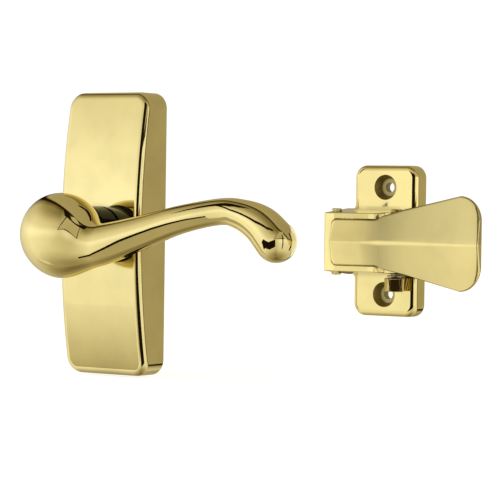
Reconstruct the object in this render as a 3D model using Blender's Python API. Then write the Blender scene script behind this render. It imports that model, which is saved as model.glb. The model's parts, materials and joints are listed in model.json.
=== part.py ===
"""Lever latch set for a storm or screen door, as two halves laid out side by side.

The outside half is a wave-shaped lever on a tall arched escutcheon. The inside half is a small
screw-on latch: a base with a C-shaped housing, a fan-shaped pull paddle that turns on an upright
pin and carries the latch nose, a cam hub for the spindle, and a ribbed lock knob.

Frame: +X to the right across the door, +Z up, and -Y out towards whoever looks at the halves.
The plane y = 0 is the door face behind both halves, and the origin is the spindle axis in it.
"""

import math

import bmesh
import bpy
from mathutils import Vector

MM = 0.001
GAP = 0.3 * MM  # clearance between neighbouring pieces
SCREW_SPACING = 44.45 * MM  # the 1 3/4 in standard for storm-door through screws

# Outside half: escutcheon
PLATE_WIDTH = 44.0 * MM
PLATE_HEIGHT = 125.6 * MM
PLATE_MIDDLE_DEPTH = 20.2 * MM
PLATE_END_DEPTH = 13.4 * MM
PLATE_CORNER = 7.0 * MM
PLATE_FILLET = 3.2 * MM
PLATE_WALL = 2.2 * MM
BOSS_RADIUS = 4.8 * MM
COVER_BOSS_X = 15.8 * MM

# Outside half: lever
BALL_RADIUS = 17.95 * MM
BALL_Y = -46.8 * MM
SHANK_RADIUS = 8.0 * MM
SHANK_BACK = -1.6 * MM
SPINDLE_SIDE = 6.35 * MM  # 1/4 in square bar
SPINDLE_FRONT = -30.0 * MM
SPINDLE_BACK = 30.0 * MM
SET_SCREW_Y = -26.5 * MM
SET_SCREW_RADIUS = 2.0 * MM
SLEEVE_RADIUS = 12.3 * MM
SLEEVE_BACK = -20.7 * MM
SLEEVE_FLARE = 14.0 * MM  # radius of the sleeve's rim, close behind the ball
RING_BACK = -12.8 * MM
RING_THICKNESS = 1.0 * MM
RING_GROOVE_RADIUS = 7.0 * MM
RETURN_SPRING_RADIUS = 10.0 * MM
RETURN_SPRING_WIRE = 0.7 * MM
TANG_RADIUS = 13.6 * MM  # outer side of the driver's tang

# Centre line of the arm, as x, y, z and the arm's radius there, in millimetres
ARM_STATIONS = (
    (2.6, -46.8, -6.7, 11.2),
    (20.8, -46.8, -4.1, 9.0),
    (41.7, -46.8, 1.4, 7.2),
    (61.6, -46.0, 7.4, 5.95),
    (80.4, -44.1, 11.1, 5.55),
    (90.0, -43.1, 10.2, 6.3),
    (99.4, -42.3, 6.2, 7.85),
    (106.8, -42.0, -0.7, 8.75),
)

# Inside half: base and housing
BASE_X = 138.3 * MM
BASE_WIDTH = 30.0 * MM
BASE_HEIGHT = 62.6 * MM
BASE_DEPTH = 7.7 * MM
BASE_CORNER = 5.2 * MM
BASE_FILLET = 2.5 * MM
HOUSING_Z = -0.6 * MM
HOUSING_LEFT = 117.0 * MM
HOUSING_FRONT = -21.0 * MM
HOUSING_HALF = 12.1 * MM  # half height at the front face
HOUSING_DRAFT = 0.095  # growth of the half height towards the door
POCKET_HALF = 9.8 * MM
POCKET_LEFT = 120.4 * MM
POCKET_CORNER = 2.5 * MM
FRAME_BACK = -18.6 * MM  # back of the C-shaped front frame
RECESS_FLOOR = -2.4 * MM
RIM_RADIUS = 5.2 * MM
SEAT_RADIUS = 3.6 * MM
SEAT_Y = -3.8 * MM
HOLE_RADIUS = 2.1 * MM

# Inside half: paddle and its pin
PIN_X = 118.9 * MM
PIN_Y = -14.0 * MM
PIN_RADIUS = 1.7 * MM
PIN_HEAD_RADIUS = 2.2 * MM
KNUCKLE_RADIUS = 3.2 * MM
KNUCKLE_HALF = 9.3 * MM
SPRING_ROOM = 4.2 * MM  # half height and radius of the gap that the paddle spring turns in
PADDLE_SPRING_RADIUS = 2.9 * MM
PADDLE_SPRING_WIRE = 0.45 * MM
ROOT_RISE, FAN_RISE = 1.6 * MM, 2.2 * MM  # how far the paddle's ridge stands over its edges
FAN_END = 192.4 * MM
FAN_CORNER = 10.0 * MM
FAN_HALF = 19.05 * MM
FAN_END_RIDGE = -28.8 * MM
FAN_THICKNESS = 3.5 * MM  # from the ridge to the back

# The paddle from its root to where its corners start: x, ridge y, half height and back y, in mm
PADDLE_STATIONS = (
    (120.8, -23.3, 7.3, -17.6),
    (121.5, -23.5, 8.9, -17.6),
    (123.0, -23.6, 9.5, -17.6),
    (134.0, -23.6, 9.5, -17.6),
    (142.0, -23.0, 9.5, -18.6),
    (144.5, -23.1, 10.95, -19.9),
    (182.4, -27.6, 19.05, -24.1),
)

# Inside half: spindle hub
HUB_FLANGE_RADIUS = 10.0 * MM
HUB_BACK = -2.5 * MM
HUB_FLANGE_FRONT = -4.4 * MM
CAM_RADIUS = 8.4 * MM
CAM_INNER_RADIUS = 4.9 * MM
CAM_VALLEY = -5.0 * MM
CAM_RISE_PER_DEGREE = 0.0925 * MM
CAM_RAMP_DEGREES = 48.0
HUB_SQUARE = 6.75 * MM
HEEL_X = 131.1 * MM  # where the paddle's heel meets the cam
HEEL_TIP = -6.2 * MM

# Inside half: lock knob
LOCK_X = 147.0 * MM
LOCK_Y = -13.5 * MM
LOCK_SHAFT_RADIUS = 1.9 * MM
KNOB_TOP = -14.9 * MM
KNOB_BOTTOM = -20.6 * MM
KNOB_TWIST = math.radians(18)  # the knob's notches lean by this much over its height
# The knob's plan, as degrees from the front towards the right and millimetres from the shaft:
# a smooth lobe, a notch, two flats and another notch; knurls fill the rest of the turn
KNOB_PLAN = (
    (-172, 3.5), (-120, 3.8), (-95, 4.3), (-75, 4.55), (-50, 4.55), (-28, 4.2), (-14, 3.85),
    (-9, 3.3), (-4, 3.75), (22, 3.9), (47, 3.9), (53, 3.25), (60, 3.6),
)
KNURL_START, KNURL_STEP, KNURLS = 67, 7, 17
KNURL_LOW, KNURL_HIGH = 3.25, 3.6
LOCK_CAM_RADIUS = 3.3 * MM

BRASS = ((0.83, 0.66, 0.27, 1.0), 0.12, 1.0)
STEEL = ((0.56, 0.57, 0.58, 1.0), 0.35, 1.0)
SPRING_STEEL = ((0.35, 0.35, 0.36, 1.0), 0.3, 1.0)
NYLON = ((0.75, 0.74, 0.70, 1.0), 0.5, 0.0)
BLACK_PLASTIC = ((0.02, 0.02, 0.02, 1.0), 0.15, 0.0)


def clear_scene():
    for obj in list(bpy.data.objects):
        bpy.data.objects.remove(obj, do_unlink=True)


def make_material(name, look):
    colour, roughness, metallic = look
    material = bpy.data.materials.new(name)
    material.use_nodes = True
    shader = material.node_tree.nodes["Principled BSDF"]
    shader.inputs["Base Color"].default_value = colour
    shader.inputs["Roughness"].default_value = roughness
    shader.inputs["Metallic"].default_value = metallic
    return material


def add_object(name, vertices, faces, look):
    """A mesh object with its faces turned outwards, shaded smooth except at sharp edges."""
    mesh = bpy.data.meshes.new(name)
    shape = bmesh.new()
    corners = [shape.verts.new(vertex) for vertex in vertices]
    for face in faces:
        shape.faces.new([corners[index] for index in face])
    bmesh.ops.connect_verts_nonplanar(shape, angle_limit=math.radians(0.05), faces=shape.faces)
    bmesh.ops.recalc_face_normals(shape, faces=shape.faces)
    shape.to_mesh(mesh)
    shape.free()
    mesh.shade_smooth()
    mesh.set_sharp_from_angle(angle=math.radians(35))
    obj = bpy.data.objects.new(name, mesh)
    bpy.context.scene.collection.objects.link(obj)
    obj.data.materials.append(make_material(name, look))
    return obj


def prism(name, outline, axis, low, high, look=BRASS):
    """An outline extruded from low to high along axis. Its pairs are (y, z), (x, z) or (x, y)."""
    limits = (lambda u, v: low), (lambda u, v: high)
    return drafted_prism(name, outline, axis, *limits, look)


def drafted_prism(name, outline, axis, low_at, high_at, look=BRASS):
    """A prism whose two ends are functions of the outline's own coordinates."""
    place = {
        "X": lambda u, v, w: (w, u, v),
        "Y": lambda u, v, w: (u, w, v),
        "Z": lambda u, v, w: (u, v, w),
    }[axis]
    count = len(outline)
    vertices = [place(u, v, low_at(u, v)) for u, v in outline]
    vertices += [place(u, v, high_at(u, v)) for u, v in outline]
    sides = [(i, (i + 1) % count, count + (i + 1) % count, count + i) for i in range(count)]
    ends = [tuple(range(count)), tuple(range(count, 2 * count))]
    return add_object(name, vertices, sides + ends, look)


def box(name, low, high, look=BRASS):
    outline = [(low[0], low[1]), (high[0], low[1]), (high[0], high[1]), (low[0], high[1])]
    return prism(name, outline, "Z", low[2], high[2], look)


def turned(name, profile, centre, axis, look=BRASS, steps=40):
    """A profile of (radius, position along axis) pairs, turned about the axis through centre.

    The profile closes on itself, or on the axis where it starts and ends at radius 0. A position
    may be a function of the angle round the axis.
    """
    place = {
        "Y": lambda r, h, a: (centre[0] + r * math.cos(a), h, centre[1] + r * math.sin(a)),
        "Z": lambda r, h, a: (centre[0] + r * math.cos(a), centre[1] + r * math.sin(a), h),
    }[axis]
    angles = [2 * math.pi * step / steps for step in range(steps)]
    vertices, rings = [], []
    for radius, height in profile:
        first = len(vertices)
        if radius == 0:
            vertices.append(place(0, height, 0))
            rings.append([first] * steps)
        else:
            height_at = height if callable(height) else lambda angle, fixed=height: fixed
            vertices += [place(radius, height_at(angle), angle) for angle in angles]
            rings.append(list(range(first, first + steps)))
    faces = []
    pairs = list(zip(rings, rings[1:]))
    if profile[0][0] > 0:
        pairs.append((rings[-1], rings[0]))
    for ring, following in pairs:
        for step in range(steps):
            after = (step + 1) % steps
            corners = [ring[step], ring[after], following[after], following[step]]
            faces.append(tuple(dict.fromkeys(corners)))
    return add_object(name, vertices, faces, look)


def cylinder(name, centre, axis, radius, low, high, look=BRASS, steps=40):
    profile = [(0, low), (radius, low), (radius, high), (0, high)]
    return turned(name, profile, centre, axis, look, steps)


def tube(name, centre, axis, inner, outer, low, high, look=BRASS, steps=40):
    profile = [(inner, low), (outer, low), (outer, high), (inner, high)]
    return turned(name, profile, centre, axis, look, steps)


def combine(target, operation, *tools):
    """Joins the tools to the target, or cuts them from it, and hides them."""
    for tool in tools:
        modifier = target.modifiers.new(tool.name, "BOOLEAN")
        modifier.operation = operation
        modifier.object = tool
        modifier.solver = "EXACT"
        tool.hide_render = True
        tool.display_type = "WIRE"
    return target


def join(target, *tools):
    return combine(target, "UNION", *tools)


def cut(target, *tools):
    return combine(target, "DIFFERENCE", *tools)


def wire(name, points, radius, look=SPRING_STEEL):
    """A round wire with closed ends along the points."""
    curve = bpy.data.curves.new(name, "CURVE")
    curve.dimensions = "3D"
    curve.bevel_depth = radius
    curve.bevel_resolution = 1
    curve.use_fill_caps = True
    spline = curve.splines.new("POLY")
    spline.points.add(len(points) - 1)
    for target, point in zip(spline.points, points):
        target.co = (*point, 1.0)
    obj = bpy.data.objects.new(name, curve)
    bpy.context.scene.collection.objects.link(obj)
    obj.data.materials.append(make_material(name, look))
    return obj


def right_half(width, height, corner, corner_steps, side_steps):
    """The right half of a rounded rectangle, from its top middle side down, as (x, z) pairs."""
    centre_x, centre_z = width / 2 - corner, height / 2 - corner
    points = []
    for step in range(corner_steps + 1):
        angle = math.pi / 2 * (1 - step / corner_steps)
        points.append((centre_x + corner * math.cos(angle), centre_z + corner * math.sin(angle)))
    for step in range(1, side_steps):
        points.append((width / 2, centre_z * (1 - 2 * step / side_steps)))
    return points + [(x, -z) for x, z in reversed(points[: corner_steps + 1])]


def cushion(name, centre_x, size, corner, fillet, depth_at, back, look=BRASS, side_steps=1):
    """A rounded plate with a flat back, whose front edge is rounded by fillet.

    depth_at gives how far the front stands out from y = 0 at a height z.
    """
    levels = [(0.0, None)]
    fillet_steps = 4
    for step in range(fillet_steps + 1):
        angle = math.pi / 2 * step / fillet_steps
        levels.append((fillet * (1 - math.cos(angle)), fillet * (1 - math.sin(angle))))
    vertices, faces = [], []
    count = 0
    for inset, drop in levels:
        half = right_half(size[0] - 2 * inset, size[1] - 2 * inset, corner - inset, 5, side_steps)
        ring = half + [(-x, z) for x, z in reversed(half)]
        count = len(ring)
        for x, z in ring:
            y = back if drop is None else drop - depth_at(z)
            vertices.append((centre_x + x, y, z))
    for level in range(len(levels) - 1):
        low, high = level * count, (level + 1) * count
        for i in range(count):
            j = (i + 1) % count
            faces.append((low + i, low + j, high + j, high + i))
    front = (len(levels) - 1) * count
    for first in (0, front):
        for i in range(count // 2 - 1):
            faces.append((first + i, first + i + 1, first + count - 2 - i, first + count - 1 - i))
    return add_object(name, vertices, faces, look)


def smooth_stations(stations, steps):
    """Catmull-Rom interpolation through rows of numbers in millimetres, as Vectors in metres."""
    rows = [[value * MM for value in row] for row in stations]
    rows = [[2 * a - b for a, b in zip(rows[0], rows[1])]] + rows
    rows += [[2 * a - b for a, b in zip(rows[-1], rows[-2])]]
    found = []
    for i in range(1, len(rows) - 2):
        for step in range(steps):
            t = step / steps
            found.append([catmull(t, *values) for values in zip(*rows[i - 1 : i + 3])])
    found.append(rows[-2])
    return found


def catmull(t, a, b, c, d):
    return 0.5 * (
        2 * b + (c - a) * t + (2 * a - 5 * b + 4 * c - d) * t**2 + (3 * b - a - 3 * c + d) * t**3
    )


# ---------------------------------------------------------------- outside half


def plate_depth(z):
    rise = PLATE_MIDDLE_DEPTH - PLATE_END_DEPTH
    return PLATE_MIDDLE_DEPTH - rise * (z / (PLATE_HEIGHT / 2)) ** 2


def blind_boss(root, top, radius, bore, floor):
    """The profile of a boss from root to top, bored from its top down to floor."""
    return [(0, root), (radius, root), (radius, top), (bore, top), (bore, floor), (0, floor)]


def outside_escutcheon():
    """A hollow cover with bosses for the posts and for the spring cover's screws."""
    size = PLATE_WIDTH, PLATE_HEIGHT
    plate = cushion(
        "outside_escutcheon", 0, size, PLATE_CORNER, PLATE_FILLET, plate_depth, 0, side_steps=14
    )
    inner_size = PLATE_WIDTH - 2 * PLATE_WALL, PLATE_HEIGHT - 2 * PLATE_WALL
    hollow = cushion(
        "plate_hollow",
        0,
        inner_size,
        PLATE_CORNER - PLATE_WALL,
        PLATE_FILLET - PLATE_WALL / 2,
        lambda z: plate_depth(z) - PLATE_WALL,
        1 * MM,
        side_steps=14,
    )
    cut(plate, hollow)
    for side in (-1, 1):
        post_boss = blind_boss(-18.1 * MM, -GAP, BOSS_RADIUS, 3.5 * MM, -12.3 * MM)
        join(plate, turned(f"post_boss{side}", post_boss, (0, side * SCREW_SPACING / 2), "Y"))
        cover_boss = blind_boss(-19.1 * MM, -3.3 * MM, 2.6 * MM, 1.5 * MM, -10 * MM)
        join(plate, turned(f"cover_boss{side}", cover_boss, (side * COVER_BOSS_X, 0), "Y", steps=24))
    cut(plate, cylinder("plate_hole", (0, 0), "Y", 10.4 * MM, -25 * MM, -10 * MM))
    return plate


def lever_handle():
    """Ball, wave-shaped arm and shank, cast in one."""
    rings = smooth_stations(ARM_STATIONS, 3)
    spine = [Vector(row[:3]) for row in rings]
    radii = [row[3] for row in rings]
    forward = (spine[-1] - spine[-2]).normalized()
    tip, tip_radius = spine[-1], radii[-1]
    cap_steps = 5
    for step in range(1, cap_steps):
        angle = math.pi / 2 * step / cap_steps
        spine.append(tip + forward * tip_radius * math.sin(angle))
        radii.append(tip_radius * math.cos(angle))
    sides = 24
    vertices = []
    for i, (centre, radius) in enumerate(zip(spine, radii)):
        before, after = spine[max(i - 1, 0)], spine[min(i + 1, len(spine) - 1)]
        along = (after - before).normalized()
        across = along.cross(Vector((0, 1, 0))).normalized()
        out = across.cross(along)
        for side in range(sides):
            angle = 2 * math.pi * side / sides
            vertices.append(centre + radius * (math.cos(angle) * across + math.sin(angle) * out))
    faces = [tuple(range(sides))]
    for ring in range(len(spine) - 1):
        for side in range(sides):
            after = (side + 1) % sides
            low, high = ring * sides, (ring + 1) * sides
            faces.append((low + side, low + after, high + after, high + side))
    last = (len(spine) - 1) * sides
    pole = len(vertices)
    vertices.append(tip + forward * tip_radius)
    faces += [(last + side, last + (side + 1) % sides, pole) for side in range(sides)]
    lever = add_object("lever_handle", vertices, faces, BRASS)

    ball_steps = 20
    arc = [math.pi * step / ball_steps for step in range(ball_steps + 1)]
    ball_profile = [
        (max(BALL_RADIUS * math.sin(angle), 0), BALL_Y - BALL_RADIUS * math.cos(angle)) for angle in arc
    ]
    ball_profile[0] = (0, BALL_Y - BALL_RADIUS)
    ball_profile[-1] = (0, BALL_Y + BALL_RADIUS)
    join(lever, turned("ball", ball_profile, (0, 0), "Y"))
    join(lever, cylinder("shank", (0, 0), "Y", SHANK_RADIUS, BALL_Y, SHANK_BACK))

    groove_low = RING_BACK - RING_THICKNESS - GAP
    groove = tube(
        "ring_groove", (0, 0), "Y", RING_GROOVE_RADIUS, 9.5 * MM, groove_low, RING_BACK + GAP
    )
    half = SPINDLE_SIDE / 2 + GAP
    socket = box("spindle_socket", (-half, SPINDLE_FRONT - GAP, -half), (half, 5 * MM, half))
    screw_hole = cylinder(
        "set_screw_hole", (0, SET_SCREW_Y), "Z", SET_SCREW_RADIUS + GAP, -20 * MM, 0, steps=20
    )
    return cut(lever, groove, socket, screw_hole)


def neck_sleeve():
    """A glossy black sleeve on the shank, from the back of the ball to the escutcheon."""
    inner = SHANK_RADIUS + GAP

    def behind_ball(radius, clearance):
        return BALL_Y + math.sqrt(BALL_RADIUS**2 - radius**2) + clearance

    between = (inner + SLEEVE_RADIUS) / 2
    profile = [
        (inner, behind_ball(inner, GAP)),
        (between, behind_ball(between, GAP)),
        (SLEEVE_RADIUS, behind_ball(SLEEVE_RADIUS, 0.6 * MM)),
        (SLEEVE_FLARE, behind_ball(SLEEVE_FLARE, 1.0 * MM)),
        (SLEEVE_FLARE, behind_ball(SLEEVE_FLARE, 1.7 * MM)),
        (SLEEVE_RADIUS, behind_ball(SLEEVE_FLARE, 4.2 * MM)),
        (SLEEVE_RADIUS, SLEEVE_BACK),
        (inner, SLEEVE_BACK),
    ]
    sleeve = turned("neck_sleeve", profile, (0, 0), "Y", BLACK_PLASTIC, 48)
    hole_radius = SET_SCREW_RADIUS + GAP
    hole = cylinder("sleeve_hole", (0, SET_SCREW_Y), "Z", hole_radius, -20 * MM, 0, steps=20)
    return cut(sleeve, hole)


def spindle():
    half = SPINDLE_SIDE / 2
    return box("spindle", (-half, SPINDLE_FRONT, -half), (half, SPINDLE_BACK, half), STEEL)


def spindle_set_screw():
    """A grub screw in the shank's underside, with a hexagon socket."""
    bottom, top = -11.1 * MM, -SPINDLE_SIDE / 2 - GAP
    centre = 0, SET_SCREW_Y
    screw = cylinder("spindle_set_screw", centre, "Z", SET_SCREW_RADIUS, bottom, top, STEEL, 20)
    socket = cylinder("set_screw_socket", centre, "Z", 1.1 * MM, bottom - 1 * MM, bottom + 2 * MM, steps=6)
    return cut(screw, socket)


def lever_bushing():
    """A flanged nylon bearing between the escutcheon and the shank."""
    inner, outer = SHANK_RADIUS + GAP, 10.4 * MM - GAP
    profile = [
        (inner, -20.0 * MM),
        (outer, -20.0 * MM),
        (outer, -17.3 * MM),
        (13.0 * MM, -17.3 * MM),
        (13.0 * MM, -16.5 * MM),
        (inner, -16.5 * MM),
    ]
    return turned("lever_bushing", profile, (0, 0), "Y", NYLON)


def spring_driver():
    """A steel ring keyed to the shank, whose tang stands between the return spring's legs."""
    ring_back = RING_BACK - RING_THICKNESS - 2 * GAP
    inner = SHANK_RADIUS + GAP
    ring = tube("spring_driver", (0, 0), "Y", inner, 12.2 * MM, ring_back - 1.5 * MM, ring_back, STEEL)
    low = (-1.2 * MM, ring_back - 1.5 * MM, 11.6 * MM)
    high = (1.2 * MM, -6.5 * MM, TANG_RADIUS)
    foot_high = (1.2 * MM, ring_back, TANG_RADIUS)
    foot = box("tang_foot", low, foot_high)
    tang = box("tang", (low[0], ring_back - 1 * MM, 12.4 * MM), high)
    return join(ring, foot, tang)


def retaining_ring():
    """An open spring ring in the shank's groove."""
    inner = RING_GROOVE_RADIUS + 0.1 * MM
    front = RING_BACK - RING_THICKNESS
    ring = tube("retaining_ring", (0, 0), "Y", inner, 9.4 * MM, front, RING_BACK, SPRING_STEEL)
    slot = box("ring_slot", (-2 * MM, front - 1 * MM, -12 * MM), (2 * MM, RING_BACK + 1 * MM, 0))
    return cut(ring, slot)


def lever_return_spring():
    """A torsion coil round the shank. Its two upright legs hold the tang and the cover's tab."""
    turns, steps = 4, 14
    leg_x = 2.3 * MM
    start = math.acos(leg_x / RETURN_SPRING_RADIUS)
    sweep = 2 * math.pi * turns + math.pi - 2 * start
    front, back = -12.0 * MM, -5.0 * MM
    count = int(sweep / (2 * math.pi) * steps)
    coil = []
    for step in range(count + 1):
        share = step / count
        angle = start + sweep * share
        x, z = math.cos(angle), math.sin(angle)
        coil.append((RETURN_SPRING_RADIUS * x, front + (back - front) * share, RETURN_SPRING_RADIUS * z))
    leg_top = 16.0 * MM
    first = (leg_x, front, leg_top)
    last = (-leg_x, back, leg_top)
    return wire("lever_return_spring", [first, *coil, last], RETURN_SPRING_WIRE)


def spring_cover():
    """A steel plate behind the spring, with a tab that holds the spring's fixed leg."""
    front, back = -3.0 * MM, -2.0 * MM
    outline = right_half(37 * MM, 30 * MM, 4 * MM, 4, 1)
    outline += [(-x, z) for x, z in reversed(outline)]
    cover = prism("spring_cover", outline, "Y", front, back, STEEL)
    join(cover, box("cover_tab", (-1.4 * MM, -10.5 * MM, 14.0 * MM), (1.4 * MM, back - 0.2 * MM, 14.9 * MM)))
    cut(cover, cylinder("cover_hole", (0, 0), "Y", SHANK_RADIUS + 0.4 * MM, -5 * MM, 0))
    for side in (-1, 1):
        centre = side * COVER_BOSS_X, 0
        cut(cover, cylinder(f"cover_screw_hole{side}", centre, "Y", 1.5 * MM, -5 * MM, 0, steps=20))
    return cover


def pan_screw(name, centre, head_radius, head_front, head_back, shank_radius, tip):
    """A pan-head screw along Y with a cross-shaped drive, its head towards the door."""
    profile = [
        (0, tip),
        (shank_radius * 0.6, tip),
        (shank_radius, tip + 0.8 * MM),
        (shank_radius, head_front),
        (head_radius, head_front),
        (head_radius, head_back - 0.3 * MM),
        (head_radius * 0.75, head_back),
        (0, head_back),
    ]
    screw = turned(name, profile, centre, "Y", STEEL, 12)
    arm, width = head_radius * 0.55, 0.35 * MM
    floor = head_back - 0.5 * MM
    for label, dx, dz in (("a", arm, width), ("b", width, arm)):
        low = centre[0] - dx, floor, centre[1] - dz
        high = centre[0] + dx, head_back + 1 * MM, centre[1] + dz
        cut(screw, box(f"{name}_drive_{label}", low, high))
    return screw


def cover_screws():
    for name, side in (("cover_screw_left", -1), ("cover_screw_right", 1)):
        centre = side * COVER_BOSS_X, 0
        pan_screw(name, centre, 2.3 * MM, -1.8 * MM, -0.6 * MM, 1.2 * MM, -9 * MM)


def mounting_posts():
    """Threaded steel posts that the through screws pull the escutcheon on by."""
    for name, side in (("mounting_post_upper", 1), ("mounting_post_lower", -1)):
        centre = 0, side * SCREW_SPACING / 2
        post = tube(name, centre, "Y", 1.75 * MM, 3.2 * MM, -12.0 * MM, 6.0 * MM, STEEL, 24)
        join(post, tube(f"{name}_collar", centre, "Y", 1.75 * MM, 4.4 * MM, 0.2 * MM, 1.2 * MM, STEEL, 6))


# ----------------------------------------------------------------- inside half


def housing_half(y):
    return HOUSING_HALF + HOUSING_DRAFT * (y - HOUSING_FRONT)


def inside_base():
    """Base plate and housing, cast in one, with a pocket for the paddle and a bore for the hub."""
    size = BASE_WIDTH, BASE_HEIGHT
    base = cushion(
        "inside_base", BASE_X, size, BASE_CORNER, BASE_FILLET, lambda z: BASE_DEPTH, 0, side_steps=4
    )
    left, right = HOUSING_LEFT, BASE_X + BASE_WIDTH / 2 - 1 * MM
    plan = [
        (left, HOUSING_FRONT),
        (141.0 * MM, HOUSING_FRONT),
        (143.6 * MM, -17.2 * MM),
        (right, -16.2 * MM),
        (right, -6.0 * MM),
        (124.5 * MM, -6.0 * MM),
        (124.5 * MM, -2.0 * MM),
        (left, -2.0 * MM),
    ]
    housing = drafted_prism(
        "housing",
        plan,
        "Z",
        lambda x, y: HOUSING_Z - housing_half(y),
        lambda x, y: HOUSING_Z + housing_half(y),
    )
    join(base, housing)

    low, high = HOUSING_Z - POCKET_HALF, HOUSING_Z + POCKET_HALF
    mouth = [(160 * MM, high), (160 * MM, low)]
    for centre_z, first in ((low + POCKET_CORNER, 1.5), (high - POCKET_CORNER, 1.0)):
        for step in range(6):
            angle = math.pi * (first - 0.1 * step)
            x = POCKET_LEFT + POCKET_CORNER * (1 + math.cos(angle))
            mouth.append((x, centre_z + POCKET_CORNER * math.sin(angle)))
    cut(base, prism("pocket_mouth", mouth, "Y", -30 * MM, FRAME_BACK + 0.2 * MM))
    floor, base_left = -BASE_DEPTH - 0.1 * MM, BASE_X - BASE_WIDTH / 2 - 0.1 * MM
    room = [
        (110 * MM, FRAME_BACK),
        (160 * MM, FRAME_BACK),
        (160 * MM, floor),
        (base_left, floor),
        (base_left, 2 * MM),
        (110 * MM, 2 * MM),
    ]
    cut(base, prism("pocket_room", room, "Z", low, high))
    centre = BASE_X, 0
    cut(base, cylinder("hub_bore", centre, "Y", CAM_RADIUS + 0.4 * MM, -12 * MM, 2 * MM))
    flange_room = cylinder(
        "flange_bore", centre, "Y", HUB_FLANGE_RADIUS + 0.4 * MM, HUB_FLANGE_FRONT - GAP, 2 * MM
    )
    recess = box(
        "retainer_recess",
        (BASE_X - 12.3 * MM, RECESS_FLOOR, -16.3 * MM),
        (BASE_X + 12.3 * MM, 2 * MM, 16.3 * MM),
    )
    cut(base, flange_room, recess)
    for side in (-1, 1):
        seat = [
            (0, -12 * MM),
            (RIM_RADIUS + 0.1 * MM, -12 * MM),
            (RIM_RADIUS, -BASE_DEPTH),
            (SEAT_RADIUS, SEAT_Y),
            (HOLE_RADIUS, SEAT_Y),
            (HOLE_RADIUS, 2 * MM),
            (0, 2 * MM),
        ]
        centre = BASE_X, side * SCREW_SPACING / 2
        cut(base, turned(f"screw_seat{side}", seat, centre, "Y", steps=32))
        centre = BASE_X, side * 13.5 * MM
        cut(base, cylinder(f"retainer_bore{side}", centre, "Y", 1.3 * MM, -6.8 * MM, 0, steps=20))
    pin_hole = cylinder("pin_hole", (PIN_X, PIN_Y), "Z", PIN_RADIUS + GAP, -25 * MM, 25 * MM, steps=24)
    lock_hole = cylinder(
        "lock_hole", (LOCK_X, LOCK_Y), "Z", LOCK_SHAFT_RADIUS + GAP, -25 * MM, 25 * MM, steps=24
    )
    return cut(base, pin_hole, lock_hole)


def paddle_sections():
    """The paddle's outline: rows of x, ridge y, half height, back y and middle height."""
    rows = [[value * MM for value in row] for row in PADDLE_STATIONS]
    start = FAN_END - FAN_CORNER
    first_ridge = rows[-1][1]
    corner_steps = 8
    for step in range(1, corner_steps + 1):
        angle = math.pi / 2 * step / corner_steps
        x = start + FAN_CORNER * math.sin(angle)
        ridge = first_ridge + (FAN_END_RIDGE - first_ridge) * (x - start) / FAN_CORNER
        half = FAN_HALF - FAN_CORNER * (1 - math.cos(angle))
        rows.append([x, ridge, half, ridge + FAN_THICKNESS])
    shift_start, shift_end = 140 * MM, 155 * MM
    for row in rows:
        share = min(max((row[0] - shift_start) / (shift_end - shift_start), 0), 1)
        row.append(HOUSING_Z * (1 - share))
    return rows


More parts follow.
